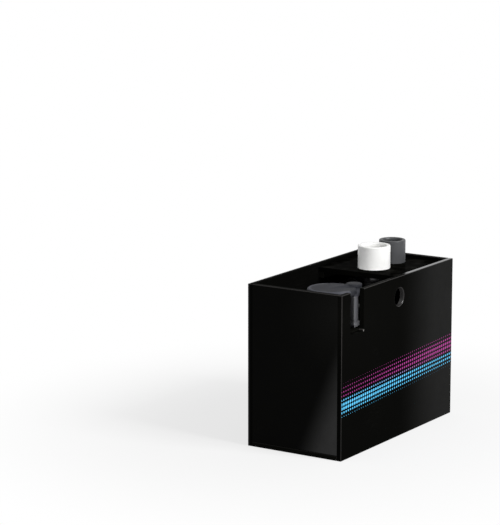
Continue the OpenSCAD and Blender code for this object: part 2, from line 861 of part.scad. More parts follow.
module pump_head() {
    color(pump_grey) {
        difference() {
            union() {
                head_disc();
                head_arm();
                at_pump() translate([0, 0, plug_low]) cylinder(r = plug_r, h = casing_top - plug_low);
            }
            along_arm(duct_r + fit_gap);
            at_intake() translate([0, 0, leg_low - over]) cylinder(r = duct_r, h = elbow_z - leg_low);
            at_intake() translate([0, 0, leg_low - over])
                cylinder(r = intake_d / 2 + fit_gap, h = leg_slip + over);
            at_pump() translate([0, 0, plug_low - over])
                cylinder(r = eye_r, h = casing_top - plug_low + 2 * over);
            at_pump() tube(ring_z - ring_r - fit_gap, ring_d + 2 * fit_gap, chamber_r, plug_r - ring_d);
        }
        bush_spider();
    }
}

module head_seal() {
    color(rubber) at_pump() translate([0, 0, ring_z]) rotate_extrude()
        translate([plug_r - ring_r, 0]) circle(ring_r);
}

module upper_bush() {
    color(rubber) at_pump() difference() {
        translate([0, 0, boss_low]) cylinder(r = boss_bush, h = boss_h - vane_t);
        translate([0, 0, boss_low - over])
            cylinder(r = shaft_r + fit_gap, h = shaft_top - boss_low + run_gap + over);
    }
}

module intake_pipe() {
    low = base_top + strainer_foot + strainer_l - slip;
    color(pipe_grey) at_intake() difference() {
        union() {
            translate([0, 0, low]) cylinder(d = intake_d, h = leg_low + leg_slip - low);
            translate([0, 0, shelf_top + run_gap]) cylinder(r = collar_r, h = collar_h);
        }
        translate([0, 0, low - over]) cylinder(r = duct_r, h = leg_low + leg_slip - low + 2 * over);
    }
}

module intake_strainer() {
    low = base_top + strainer_foot;
    outer = intake_d / 2 + strainer_wall;
    slot_low = low + 3 * strainer_wall;
    slot_h = strainer_l - slip - 6 * strainer_wall;
    color(pump_grey) at_intake() difference() {
        union() {
            translate([0, 0, low + outer]) cylinder(r = outer, h = strainer_l - outer);
            intersection() {
                translate([0, 0, low + outer]) sphere(outer);
                translate([0, 0, low]) cylinder(r = outer, h = outer);
            }
        }
        translate([0, 0, low + outer]) cylinder(r = intake_d / 2 - strainer_wall, h = strainer_l);
        translate([0, 0, low + strainer_l - slip]) cylinder(r = intake_d / 2 + fit_gap, h = slip + over);
        for (i = [0 : strainer_slots - 1]) rotate([0, 0, i * 360 / strainer_slots])
            translate([0, -strainer_slot / 2, slot_low + outer])
                cube([2 * outer, strainer_slot, slot_h - outer]);
    }
}

// Rotor
module vane() {
    bow = impeller_d / 2;
    middle = [impeller_d / 4, -bow * cos(30), 0];
    intersection() {
        translate(middle) tube(vane_low - over / 2, vane_h + over / 2, bow + vane_t / 2, bow - vane_t / 2);
        tube(vane_low - over, vane_h + over, impeller_d / 2 - vane_t / 4, hub_d / 2 - vane_t / 2);
        translate([0, -impeller_d, vane_low - over]) cube([impeller_d, 2 * impeller_d, vane_h + 2 * over]);
    }
}

module impeller() {
    color(dark_grey) at_pump() difference() {
        union() {
            translate([0, 0, rotor_low]) cylinder(r = sleeve_r, h = magnet_top - rotor_low);
            translate([0, 0, magnet_top]) cylinder(r = neck_r, h = plate_low - magnet_top);
            translate([0, 0, plate_low]) cylinder(d = impeller_d, h = plate_t);
            translate([0, 0, plate_low]) cylinder(d = hub_d, h = vane_top - plate_low);
            for (i = [0 : vane_count - 1]) rotate([0, 0, i * 360 / vane_count]) vane();
        }
        translate([0, 0, rotor_low - over])
            cylinder(r = shaft_r + fit_gap, h = vane_top - rotor_low + 2 * over);
    }
}

module rotor_magnet() {
    color(ferrite) at_pump() tube(magnet_low, magnet_l, magnet_d / 2, sleeve_r + fit_gap);
}

// Filter: a frame of a floor and two ends, a slotted screen on each side, and a handle over the top
module filter_cassette() {
    high = cassette_top - base_top;
    color(dark_grey) {
        block([cassette_x, cassette_y, base_top], [cassette_t, cassette_l, cassette_wall]);
        for (y = [cassette_y, cassette_y + cassette_l - cassette_wall])
            block([cassette_x, y, base_top], [cassette_t, cassette_wall, high]);
    }
}

module cassette_screens() {
    low = base_top + cassette_wall + fit_gap;
    high = strap_low - low;
    span = cassette_l - 2 * cassette_wall - 2 * fit_gap;
    slots = floor((span - slot_pitch) / slot_pitch);
    first = cassette_mid - ((slots - 1) * slot_pitch + slot_w) / 2;
    color(dark_grey) for (x = [cassette_x, cassette_x + cassette_t - cassette_wall]) difference() {
        block([x, cassette_mid - span / 2, low], [cassette_wall, span, high]);
        for (i = [0 : slots - 1])
            block([x - over, first + i * slot_pitch, low + slot_band],
                [cassette_wall + 2 * over, slot_w, high - 2 * slot_band]);
    }
}

module cassette_handle() {
    color(dark_grey) translate([cassette_x + cassette_t / 2, cassette_mid, 0]) {
        for (side = [-1, 1]) translate([0, side * grip_l / 2, 0]) {
            block([-cassette_t / 2, -strap_w / 2, strap_low], [cassette_t, strap_w, strap_t]);
            translate([0, 0, strap_low]) cylinder(d = grip_d, h = grip_z - strap_low);
            translate([0, 0, grip_z]) sphere(d = grip_d);
        }
        along_y(0, -grip_l / 2, grip_z) cylinder(d = grip_d, h = grip_l);
    }
}

module filter_sponge() {
    inset = cassette_wall + sponge_gap;
    color(sponge_blue) block([cassette_x + inset, cassette_y + inset, base_top + inset],
        [cassette_t - 2 * inset, cassette_l - 2 * inset, strap_low - sponge_gap - base_top - inset]);
}

base_plate();
front_panel();
back_panel();
left_panel();
right_panel();
comb_weir();
pump_shelf();
filter_guide();
cassette_rails();
deck_ledges();
pipe_deck();
drain_socket();
drain_seal();
drain_nut();
drain_pipe();
return_socket();
return_seal();
return_nut();
return_elbow();
delivery_pipe();
pipe_clips();
pump_casing();
motor_can();
motor_end_cap();
cable_gland();
stator_core();
stator_coils();
rotor_tube();
tube_seal();
casing_screws();
rotor_shaft();
lower_bush();
pump_head();
head_seal();
upper_bush();
intake_pipe();
intake_strainer();
impeller();
rotor_magnet();
filter_cassette();
cassette_screens();
cassette_handle();
filter_sponge();
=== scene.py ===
# %% [markdown]
# # A pump and filter box
# The object is an open black case of glued sheet. A circulation pump hangs in its front left corner under
# a round grey head, a filter cassette lifts out of the middle, and two pipe sockets stand on a deck at
# the right. The CAD frame already holds every solid in its place, so this file only dresses it: it gives
# each solid a finish, and it rebuilds the moulded and soft pieces as smooth surfaces worked out with
# numpy. Blender counts in metres, and so do the finishes. The surfaces are worked out in millimetres.

# %% The CAD frame
import json
import math

import bmesh
import bpy
import numpy as np
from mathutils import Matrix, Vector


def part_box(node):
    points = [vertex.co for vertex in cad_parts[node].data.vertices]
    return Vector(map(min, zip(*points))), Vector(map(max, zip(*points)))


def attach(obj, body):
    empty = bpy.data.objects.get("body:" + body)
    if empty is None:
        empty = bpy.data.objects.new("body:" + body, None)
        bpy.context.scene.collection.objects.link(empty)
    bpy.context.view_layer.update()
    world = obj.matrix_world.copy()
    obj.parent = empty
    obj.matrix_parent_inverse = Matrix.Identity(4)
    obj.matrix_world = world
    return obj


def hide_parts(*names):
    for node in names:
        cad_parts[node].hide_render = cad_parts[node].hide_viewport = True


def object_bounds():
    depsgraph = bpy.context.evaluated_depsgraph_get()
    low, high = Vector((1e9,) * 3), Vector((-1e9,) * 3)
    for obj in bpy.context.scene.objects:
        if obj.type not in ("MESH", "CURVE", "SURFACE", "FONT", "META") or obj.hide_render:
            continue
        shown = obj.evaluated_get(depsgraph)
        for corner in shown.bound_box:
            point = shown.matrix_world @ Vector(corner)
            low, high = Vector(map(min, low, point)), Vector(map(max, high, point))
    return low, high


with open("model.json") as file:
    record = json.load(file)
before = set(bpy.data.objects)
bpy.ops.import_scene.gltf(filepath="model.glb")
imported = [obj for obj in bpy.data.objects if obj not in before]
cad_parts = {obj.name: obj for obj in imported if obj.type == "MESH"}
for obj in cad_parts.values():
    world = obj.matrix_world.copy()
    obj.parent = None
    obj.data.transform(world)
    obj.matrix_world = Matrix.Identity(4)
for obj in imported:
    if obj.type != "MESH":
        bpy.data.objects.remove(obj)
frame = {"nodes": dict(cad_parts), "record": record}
cad_box = [list(corner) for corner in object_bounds()]
nodes = frame["nodes"]
mounts = {mount["name"]: mount for mount in frame["record"]["mounts"]}
scene = bpy.context.scene
MM = 0.001
print("CAD nodes:", len(nodes), "mounts:", list(mounts), "CAD box:", cad_box)

# %% [markdown]
# ## Camera
# The box is seen from its front left corner, a little from above, with a long lens from about two and a
# half metres. A shifted lens would keep the upright edges parallel, but it would carry its shift into
# every other view. A plain camera that is tipped 11 degrees down gives the same picture to within a pixel
# or two.

# %% Camera
camera_place = (-2.0857, -1.2270, 0.6567)
camera_tip, camera_turn = math.radians(11.236), math.radians(-57.023)
sensor_mm, focal_mm = 36.0, 164.5

lens = bpy.data.cameras.new("studio_camera")
lens.sensor_width = sensor_mm
lens.lens = focal_mm
camera = bpy.data.objects.new("studio_camera", lens)
camera.location = camera_place
camera.rotation_euler = (math.pi / 2 - camera_tip, 0.0, camera_turn)
scene.collection.objects.link(camera)
scene.camera = camera
scene.view_settings.view_transform = "Standard"
print("camera", round(float(np.linalg.norm(camera_place)), 2), "m from the foot of the box")

# %% [markdown]
# ## Node helpers
# A material is a tree of small nodes. One helper adds a node and fills its inputs, and a few more give
# short names to the sums, ranges and mixes that every finish below is made of. A noise seldom leaves its
# middle, so a span such as 0.3 to 0.7 stretches it over the whole scale.

# %% Node helpers
def fill(tree, node, **inputs):
    """Fills a node's inputs: a socket is linked, and any other value is set. A name like _3 stands for
    the fourth input, and an underscore inside a name stands for a space."""
    for key, value in inputs.items():
        socket = node.inputs[int(key[1:]) if key[0] == "_" else key.replace("_", " ")]
        if isinstance(value, bpy.types.NodeSocket):
            tree.links.new(value, socket)
        else:
            socket.default_value = value


def add(tree, kind, settings=None, **inputs):
    """Adds one node. The settings are its properties, and its inputs are filled as above."""
    node = tree.nodes.new(kind)
    for key, value in (settings or {}).items():
        setattr(node, key, value)
    fill(tree, node, **inputs)
    return node


def calc(tree, operation, a, b=0.0):
    """One sum on values: a and b are sockets or numbers."""
    return add(tree, "ShaderNodeMath", {"operation": operation}, _0=a, _1=b).outputs[0]


def times(tree, first, *others):
    """The product of values. For masks it is the part that lies in all of them."""
    for other in others:
        first = calc(tree, "MULTIPLY", first, other)
    return first


def weigh(tree, a, b, share):
    """Adds two values, a with that share and b with the rest."""
    return calc(tree, "ADD", times(tree, a, share), times(tree, b, 1.0 - share))


def span(tree, value, low, high, out_low=0.0, out_high=1.0):
    """Carries a value from low..high to out_low..out_high along a smooth S, and holds it outside."""
    return add(tree, "ShaderNodeMapRange", {"interpolation_type": "SMOOTHSTEP"}, _0=value, _1=low, _2=high,
               _3=out_low, _4=out_high).outputs[0]


def tint(tree, factor, a, b):
    """Mixes two colours: a where the factor is 0, b where it is 1."""
    return add(tree, "ShaderNodeMix", {"data_type": "RGBA"}, _0=factor, _6=a, _7=b).outputs[2]


def wash(tree, colour, mask, weight, over):
    """Lays a second colour over the first where the mask is 1, with that weight at most."""
    return tint(tree, times(tree, mask, weight), colour, over)


def split(tree, vector):
    """The X, Y and Z of a vector."""
    return add(tree, "ShaderNodeSeparateXYZ", _0=vector).outputs


def distance(tree, a, b, centre):
    """How far the point (a, b) lies from a centre in the same plane."""
    offset = add(tree, "ShaderNodeCombineXYZ", X=calc(tree, "SUBTRACT", a, centre[0]),
                 Y=calc(tree, "SUBTRACT", b, centre[1])).outputs[0]
    return add(tree, "ShaderNodeVectorMath", {"operation": "LENGTH"}, _0=offset).outputs["Value"]


def noise(tree, vector, size, detail=3.0):
    """Cloudy noise whose patches are about size metres across."""
    return add(tree, "ShaderNodeTexNoise", Vector=vector, Scale=1.0 / size, Detail=detail).outputs[0]


def rgb(red, green, blue):
    """A colour given as it looks on a screen, 0 to 255, as the linear colour that a shader takes."""
    c = np.array([red, green, blue]) / 255.0
    return (*np.where(c <= 0.04045, c / 12.92, ((c + 0.055) / 1.055) ** 2.4), 1.0)


print("node helpers ready")

# %% [markdown]
# ## Background
# The box stands in a white studio. A world that is white as a lamp too would wash the black sheet out, so
# it is white only where the camera or a reflection sees it, and dimmer where it gives light.

# %% Background
white = (1.0, 1.0, 1.0, 1.0)
world_as_lamp = 0.36


def seen_directly(tree):
    """1 for camera, glossy and transmission rays, 0 for the rays that only carry light."""
    path = add(tree, "ShaderNodeLightPath").outputs
    camera_or_glossy = calc(tree, "MAXIMUM", path["Is Camera Ray"], path["Is Glossy Ray"])
    return calc(tree, "MAXIMUM", camera_or_glossy, path["Is Transmission Ray"])


world = bpy.data.worlds.new("white_studio")
scene.world = world
world.use_nodes = True
sky = world.node_tree
sky.nodes.clear()
strength = span(sky, seen_directly(sky), 0.0, 1.0, world_as_lamp, 1.0)
background = add(sky, "ShaderNodeBackground", Color=white, Strength=strength)
add(sky, "ShaderNodeOutputWorld", Surface=background.outputs[0])
print("world: white to the eye,", world_as_lamp, "as a lamp")

# %% [markdown]
# ## Floor
# The floor is pale paper. Far from the box it glows white, as the background does. Near the box it is
# mixed with a matt surface, which takes the shadow.

# %% Floor
floor_half = 20.0
near, far, near_glow = 0.16, 0.45, 0.72
paper_grey = (0.9, 0.9, 0.9, 1.0)

paper = bpy.data.materials.new("pale_floor")
paper.use_nodes = True
tree = paper.node_tree
tree.nodes.clear()
place = add(tree, "ShaderNodeTexCoord").outputs["Object"]
from_box = add(tree, "ShaderNodeVectorMath", {"operation": "LENGTH"}, _0=place).outputs["Value"]
glow = times(tree, seen_directly(tree), span(tree, from_box, near, far, near_glow, 1.0))
matt = add(tree, "ShaderNodeBsdfDiffuse", Color=paper_grey)
glowing = add(tree, "ShaderNodeEmission", Color=white, Strength=1.0)
mixed = add(tree, "ShaderNodeMixShader", _0=glow, _1=matt.outputs[0], _2=glowing.outputs[0])
add(tree, "ShaderNodeOutputMaterial", Surface=mixed.outputs[0])

corners = [(-floor_half, -floor_half, 0), (floor_half, -floor_half, 0), (floor_half, floor_half, 0),
           (-floor_half, floor_half, 0)]
sheet = bpy.data.meshes.new("pale_floor")
sheet.from_pydata(corners, [], [(0, 1, 2, 3)])
sheet.materials.append(paper)
floor = bpy.data.objects.new("pale_floor", sheet)
scene.collection.objects.link(floor)
print("floor:", 2 * floor_half, "m wide")

# %% [markdown]
# ## Lamps
# A large soft lamp stands in front, to the right of the camera. A narrow one to the left of the camera
# reaches through the notch to the intake pipe and leaves the rest alone.

# %% Lamps
box_middle, front_lamp_place = (0.0, 0.0, 0.1), (-0.05, -1.58, 1.23)
pipe_in_notch, notch_lamp_place = (-0.061, -0.037, 0.144), (-2.015, -0.94, 0.45)
front_lamp_size, front_lamp_watts = 0.7, 34.0
notch_patch, notch_patch_softness, notch_lamp_radius, notch_lamp_watts = 0.07, 0.3, 0.04, 260.0


def hang_lamp(name, kind, lamp_place, target, watts):
    """A lamp that points at a target. A lamp shines down, so it is tipped by the angle between down and
    its aim and then turned towards the target. Returns the lamp and its distance from the target."""
    aim = np.array(target) - np.array(lamp_place)
    reach = np.linalg.norm(aim)
    lamp = bpy.data.lights.new(name, kind)
    lamp.energy = watts
    holder = bpy.data.objects.new(name, lamp)
    holder.location = lamp_place
    holder.rotation_euler = (math.acos(-aim[2] / reach), 0.0, math.atan2(-aim[0], aim[1]))
    scene.collection.objects.link(holder)
    return lamp, reach


front_lamp, front_reach = hang_lamp("front_lamp", "AREA", front_lamp_place, box_middle, front_lamp_watts)
front_lamp.size = front_lamp_size
notch_lamp, notch_reach = hang_lamp("notch_lamp", "SPOT", notch_lamp_place, pipe_in_notch,
                                    notch_lamp_watts)
notch_lamp.spot_size = 2 * math.atan(notch_patch / 2 / notch_reach)
notch_lamp.spot_blend = notch_patch_softness
notch_lamp.shadow_soft_size = notch_lamp_radius
print("lamps", round(float(front_reach), 2), "and", round(float(notch_reach), 2), "m away")

# %% [markdown]
# ## Shared effects
# Several finishes need the same effects: a moulded grain, sharp edges that are polished or rubbed, dust
# that settles on what faces up, and fine scratches. Each is a node group, built once. A group only puts
# out masks and heights; the shader stays in the material.

# %% Shared effects
VECTOR, VALUE = "NodeSocketVector", "NodeSocketFloat"


def effect(name, inputs, outputs, build):
    """A node group with named inputs and outputs; build fills it and returns its output sockets in
    order."""
    group = bpy.data.node_groups.new(name, "ShaderNodeTree")
    for label, kind in inputs:
        group.interface.new_socket(label, in_out="INPUT", socket_type=kind)
    for label in outputs:
        group.interface.new_socket(label, in_out="OUTPUT", socket_type=VALUE)
    source, sink = group.nodes.new("NodeGroupInput"), group.nodes.new("NodeGroupOutput")
    for socket, value in zip(sink.inputs, build(group, source.outputs)):
        group.links.new(value, socket)
    return group


def build_grain(group, given):
    """Two noises, one several times finer: Shade is their mix, Height is the fine one."""
    times_finer, coarse_share = 6.0, 0.6
    scale = calc(group, "DIVIDE", 1.0, given["Size"])
    fine_scale = times(group, scale, times_finer)
    coarse = add(group, "ShaderNodeTexNoise", Vector=given["Place"], Scale=scale, Detail=3.0).outputs[0]
    fine = add(group, "ShaderNodeTexNoise", Vector=given["Place"], Scale=fine_scale, Detail=2.0).outputs[0]
    return weigh(group, coarse, fine, coarse_share), fine


def build_edges(group, given):
    """1 where a face lies along none of the three axes, as a bevel does, and 0 on the flats."""
    bevel, flat = 0.80, 0.97
    parts = [calc(group, "ABSOLUTE", part) for part in split(group, given["Facing"])]
    largest = calc(group, "MAXIMUM", calc(group, "MAXIMUM", parts[0], parts[1]), parts[2])
    return (span(group, largest, bevel, flat, 1.0, 0.0),)


def build_dust(group, given):
    """Upward faces, broken up by cloudy noise."""
    tilted, level = 0.55, 0.95
    patch_size, bare, covered = 18 * MM, 0.42, 0.68
    up = span(group, split(group, given["Facing"])["Z"], tilted, level)
    patches = span(group, noise(group, given["Place"], patch_size, 5.0), bare, covered)
    return (times(group, up, patches),)


def build_scratches(group, given):
    """Long thin lines where a stretched noise passes through its middle value, kept in a few patches."""
    turns, lean, stretch, half_width = (0.35, -0.6, 1.25), 0.7, (14.0, 420.0, 420.0), 0.012
    patch_size, bare, scratched = 35 * MM, 0.52, 0.66
    lines = 0.0
    for turn in turns:
        tipped = (turn, turn * lean, turn)
        stretched = add(group, "ShaderNodeMapping", Vector=given["Place"], Rotation=tipped,
                        Scale=stretch).outputs[0]
        wave = add(group, "ShaderNodeTexNoise", Vector=stretched, Scale=1.0, Detail=1.0).outputs[0]
        from_middle = calc(group, "ABSOLUTE", calc(group, "SUBTRACT", wave, 0.5))
        lines = calc(group, "MAXIMUM", span(group, from_middle, 0.0, half_width, 1.0, 0.0), lines)
    return (times(group, lines, span(group, noise(group, given["Place"], patch_size), bare, scratched)),)


grain = effect("moulded_grain", [("Place", VECTOR), ("Size", VALUE)], ["Shade", "Height"], build_grain)
edges = effect("broken_edges", [("Facing", VECTOR)], ["Mask"], build_edges)
dust = effect("settled_dust", [("Place", VECTOR), ("Facing", VECTOR)], ["Mask"], build_dust)
scratches = effect("fine_scratches", [("Place", VECTOR)], ["Mask"], build_scratches)
print("effects:", [group.name for group in bpy.data.node_groups])

# %% [markdown]
# ## Starting a finish
# Every finish starts the same way: a material, its shader, and the coordinates that say where on the
# object a point lies and which way it faces. Object coordinates are used throughout, so a pattern sticks
# to its piece.

# %% Starting a finish
def use(tree, group, **inputs):
    """Places a group in a material and returns its outputs."""
    return add(tree, "ShaderNodeGroup", {"node_tree": group}, **inputs).outputs


def start_finish(name):
    """A new material: returns it, its tree, its shader, and its coordinates, of which Object says where a
    point lies and Normal which way it faces."""
    material = bpy.data.materials.new(name)
    material.use_nodes = True
    tree = material.node_tree
    return material, tree, tree.nodes["Principled BSDF"], add(tree, "ShaderNodeTexCoord").outputs


def bump(tree, shader, height, depth):
    """Feeds a height into the shader's normal; depth is how far 0 and 1 lie apart, in metres."""
    raised = add(tree, "ShaderNodeBump", Strength=1.0, Distance=depth, Height=height)
    fill(tree, shader, Normal=raised.outputs[0])


print("ready to start finishes")

# %% [markdown]
# ## Black sheet
# The case is glued from black acrylic sheet. Its faces are deep black and its broken edges are polished,
# so they catch the light as thin lines. A clear coat over a black base does this: the coat weight says
# how well each part reflects. It is high on the edges, low on the flats, and a soft wiped film makes it
# change slowly along a sheet. The edges are also washed a paler grey in the base colour, which is a
# painted highlight.

# %% Black sheet
black, dust_grey = rgb(9, 9, 8), rgb(58, 57, 54)
scratch_grey, edge_highlight_grey = rgb(60, 60, 58), rgb(70, 67, 66)
dust_weight, scratch_weight, edge_highlight_weight, edge_coat = 0.15, 0.04, 0.3, 0.35
smudge_size, clean, smudged = 50 * MM, 0.3, 0.7
clean_rough, smudged_rough, scratch_rough = 0.16, 0.30, 0.08
clean_coat, smudged_coat, coat_ior, coat_rough = 1.08, 0.92, 1.4, 0.12
wave_size, wave_depth = 30 * MM, 0.03 * MM


def sheet_finish(name, film, lit, base=black, polish=None, paint=None):
    """Black sheet: film(tree, place) is the coat weight of its flats, and lit(tree, facing) picks the
    broken edges that catch the light. Where they are given, polish(tree, place, facing) is the coat
    weight of polished parts, and paint(tree, colour, place, facing) returns the colour with what is
    rubbed or printed on it."""
    material, tree, shader, coordinates = start_finish(name)
    place, facing = coordinates["Object"], coordinates["Normal"]
    smudge = use(tree, grain, Place=place, Size=smudge_size)["Shade"]
    powder = use(tree, dust, Place=place, Facing=facing)["Mask"]
    lines = use(tree, scratches, Place=place)["Mask"]
    edge = times(tree, use(tree, edges, Facing=facing)["Mask"], lit(tree, facing))
    colour = wash(tree, base, powder, dust_weight, dust_grey)
    colour = wash(tree, colour, lines, scratch_weight, scratch_grey)
    # The paler edge colour is a painted highlight, laid over the coat's real reflection on the edges.
    colour = wash(tree, colour, edge, edge_highlight_weight, edge_highlight_grey)
    if paint:
        colour = paint(tree, colour, place, facing)
    wiped = span(tree, smudge, clean, smudged, clean_rough, smudged_rough)
    rough = calc(tree, "ADD", wiped, times(tree, lines, scratch_rough))
    coat = times(tree, span(tree, smudge, clean, smudged, clean_coat, smudged_coat), film(tree, place))
    coat = calc(tree, "MAXIMUM", coat, times(tree, edge, edge_coat))
    if polish:
        coat = calc(tree, "MAXIMUM", coat, polish(tree, place, facing))
    fill(tree, shader, Base_Color=colour, Roughness=rough, Coat_Weight=coat, Specular_IOR_Level=0.0,
         Coat_IOR=coat_ior, Coat_Roughness=coat_rough)
    bump(tree, shader, noise(tree, place, wave_size, 2.0), wave_depth)
    return material


print("black sheet ready to wipe")

# %% [markdown]
# ## Wiped films
# The sheets inside stand in water and have only a thin film. The left sheet was wiped in one long stroke
# that ends on a slanted line, and the right and back sheets were wiped all over. Along the glued seams
# the edges stay dark. A film is a coat weight that depends on the place, so each is a short function.

# %% Wiped films
thin_coat, glossy_coat, stroke_ends_coat, stroke_coat = 0.01, 0.45, 0.03, 0.80
case_right, case_back = cad_box[1][:2]
film_starts, film_full = 3.0 * MM, 0.5 * MM
seam, clear, weak = 0.2, 0.4, 0.4


def thin_film(tree, place):
    """A very thin film everywhere, as on sheets that stand in water."""
    return thin_coat


def left_film(tree, place):
    """A film that ends on a slanted line and thickens from it towards the lower front corner."""
    slant, line_y, ends, full = math.radians(21.3), -7 * MM, -7 * MM, 28 * MM
    spot = split(tree, place)
    forward = times(tree, calc(tree, "SUBTRACT", line_y, spot["Y"]), math.cos(slant))
    past_line = calc(tree, "SUBTRACT", forward, times(tree, spot["Z"], math.sin(slant)))
    return span(tree, past_line, ends, full, stroke_ends_coat, stroke_coat)


def outside_film(axis, outside):
    """A film for a sheet whose outside lies at that place on an axis: glossy there, thin inside."""
    def film(tree, place):
        along = split(tree, place)[axis]
        return span(tree, along, outside - film_starts, outside - film_full, thin_coat, glossy_coat)
    return film


def upper_edges(tree, facing):
    """The edges along the rim; the upright ones are glued seams and stay dark."""
    return span(tree, split(tree, facing)["Z"], seam, clear)


def rear_edges(tree, facing):
    """The edges that don't face forward, where the back sheet has its glued seams."""
    return span(tree, split(tree, facing)["Y"], -clear, -seam)


def all_edges(tree, facing):
    """All edges, but weaker."""
    return weak


# One black acrylic gets a different base tone per sheet. The sheets inside are paler, as painted light
# where they stand in shade, and the deck is darker, as painted shade where light falls on it from above.
black_sheet = sheet_finish("black_sheet", thin_film, all_edges, rgb(15, 15, 13))
deck_sheet = sheet_finish("black_deck_sheet", thin_film, all_edges, rgb(5, 5, 4))
left_sheet = sheet_finish("black_left_sheet", left_film, upper_edges, rgb(11, 11, 10))
right_sheet = sheet_finish("black_right_sheet", outside_film("X", case_right), upper_edges)
back_sheet = sheet_finish("black_back_sheet", outside_film("Y", case_back), rear_edges)
print("sheets:", [sheet.name for sheet in (black_sheet, deck_sheet, left_sheet, right_sheet, back_sheet)])

# %% [markdown]
# ## Film and edges of the front sheet
# The cut upper edge of the front is polished to a mirror along its right half, the wall of the round port
# is left matt, and the lower right corner of the notch carries a painted glint, a small pale spot in the
# base colour. Each is a mask that follows the place: a level, a distance from the port's axis and a
# distance from the corner.

# %% Film and edges of the front sheet
rim_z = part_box("front_panel")[1].z
port = mounts["front_port"]
port_axis, port_r = (port["pos_m"][0], port["pos_m"][2]), port["dims"]["r_mm"] * MM
notch_corner = (-0.0718, -0.0548, 0.1256)
film_end_x, film_least, film_most = 90 * MM, 0.012, 0.2
mirror_starts, mirror_full, dull_share = 8 * MM, 24 * MM, 0.05
slanted, almost_level, below_rim, near_rim = 0.85, 0.97, 8 * MM, 2 * MM
matt_grey, matt_weight, matt_full, matt_ends = rgb(52, 51, 51), 0.8, 0.3 * MM, 0.8 * MM
glint_grey, glint_weight, glint_full, glint_ends = rgb(128, 126, 123), 0.7, 0.4 * MM, 1.4 * MM


def front_film(tree, place):
    """A film that thickens to the right."""
    return span(tree, split(tree, place)["X"], 0.0, film_end_x, film_least, film_most)


def front_edges(tree, facing):
    """The edges that don't face back, where the front sheet has its glued seams."""
    return span(tree, split(tree, facing)["Y"], seam, clear, 1.0, 0.0)


def mirror_edge(tree, place, facing):
    """1 on the right half of the upper edge, and little on its left half."""
    spot = split(tree, place)
    level = span(tree, split(tree, facing)["Z"], slanted, almost_level)
    high = span(tree, spot["Z"], rim_z - below_rim, rim_z - near_rim)
    return times(tree, level, high, span(tree, spot["X"], mirror_starts, mirror_full, dull_share, 1.0))


def port_wall_and_glint(tree, colour, place):
    """The colour with the matt wall of the port and a painted glint on the corner of the notch."""
    spot = split(tree, place)
    from_port = distance(tree, spot["X"], spot["Z"], port_axis)
    port_wall = span(tree, from_port, port_r + matt_full, port_r + matt_ends, matt_weight, 0.0)
    # A painted glint: the corner of the notch is tinted pale.
    from_corner = add(tree, "ShaderNodeVectorMath", {"operation": "DISTANCE"}, _0=place, _1=notch_corner)
    bare = span(tree, from_corner.outputs["Value"], glint_full, glint_ends, glint_weight, 0.0)
    return tint(tree, bare, tint(tree, port_wall, colour, matt_grey), glint_grey)


port_drop = (rim_z - port_axis[1]) / MM
print("port", round(2 * port_r / MM, 1), "mm across,", round(port_drop, 1), "mm below the rim")

# %% [markdown]
# ## Dotted print on the front
# The front carries a plain halftone band in cyan and magenta: dots on a square lattice that is tipped a
# little, large along the middle of each stripe and smaller towards its sides. A Voronoi texture without
# randomness is exactly such a lattice: its distance draws the dots, and its position output gives each
# dot's own middle, so that a dot's size is the same all over the dot and it stays round.

# %% Dotted print on the front
pitch, tilt, band_z = 4.2 * MM, math.radians(2.0), 66 * MM
half_run = 26.0
low_row, low_reach, low_dot, low_end_share = -1.6, 3.6, 0.40, 0.72
high_row, high_reach, high_dot, high_end_share = 1.5, 4.4, 0.37, 0.55
no_dot, small_dot, ink_starts, ink_full, hue_mix = 0.05, 0.12, -0.03, 0.05, 0.10
faces_front, faces_aside = -0.98, -0.9
cyan, magenta = rgb(92, 192, 238), rgb(158, 58, 132)


def stripe(tree, across, middle_row, reach, largest):
    """Dot radius, in pitches: largest on the middle row of a stripe, and 0 at its reach on either
    side."""
    off = calc(tree, "ABSOLUTE", calc(tree, "SUBTRACT", across, middle_row))
    return span(tree, off, 0.0, reach, largest, 0.0)


def print_dots(tree, colour, place, facing):
    """The colour, with the port wall and the painted glint, and the dots: ink lies where a point is nearer
    to its dot's middle than the radius of the larger stripe there, and that stripe gives the ink's hue."""
    spot = split(tree, place)
    flat = add(tree, "ShaderNodeCombineXYZ", X=spot["X"], Y=calc(tree, "SUBTRACT", spot["Z"], band_z))
    lattice = add(tree, "ShaderNodeMapping", Vector=flat.outputs[0], Rotation=(0.0, 0.0, -tilt),
                  Scale=(1 / pitch, 1 / pitch, 1.0))
    dots = add(tree, "ShaderNodeTexVoronoi", {"voronoi_dimensions": "2D"}, Vector=lattice.outputs[0],
               Scale=1.0, Randomness=0.0).outputs
    dot = split(tree, dots["Position"])
    low_stripe = times(tree, stripe(tree, dot["Y"], low_row, low_reach, low_dot),
                       span(tree, dot["X"], -half_run, half_run, 1.0, low_end_share))
    high_stripe = times(tree, stripe(tree, dot["Y"], high_row, high_reach, high_dot),
                        span(tree, dot["X"], -half_run, half_run, high_end_share, 1.0))
    radius = calc(tree, "MAXIMUM", low_stripe, high_stripe)
    inside = span(tree, calc(tree, "SUBTRACT", radius, dots["Distance"]), ink_starts, ink_full)
    front_face = span(tree, split(tree, facing)["Y"], faces_front, faces_aside, 1.0, 0.0)
    ink = times(tree, inside, front_face, span(tree, radius, no_dot, small_dot))
    hue = span(tree, calc(tree, "SUBTRACT", high_stripe, low_stripe), -hue_mix, hue_mix)
    return tint(tree, ink, port_wall_and_glint(tree, colour, place), tint(tree, hue, cyan, magenta))


front_sheet = sheet_finish("black_front_sheet", front_film, front_edges, rgb(7, 7, 6), polish=mirror_edge,
                           paint=print_dots)
print("print: dots", round(pitch / MM, 1), "mm apart")

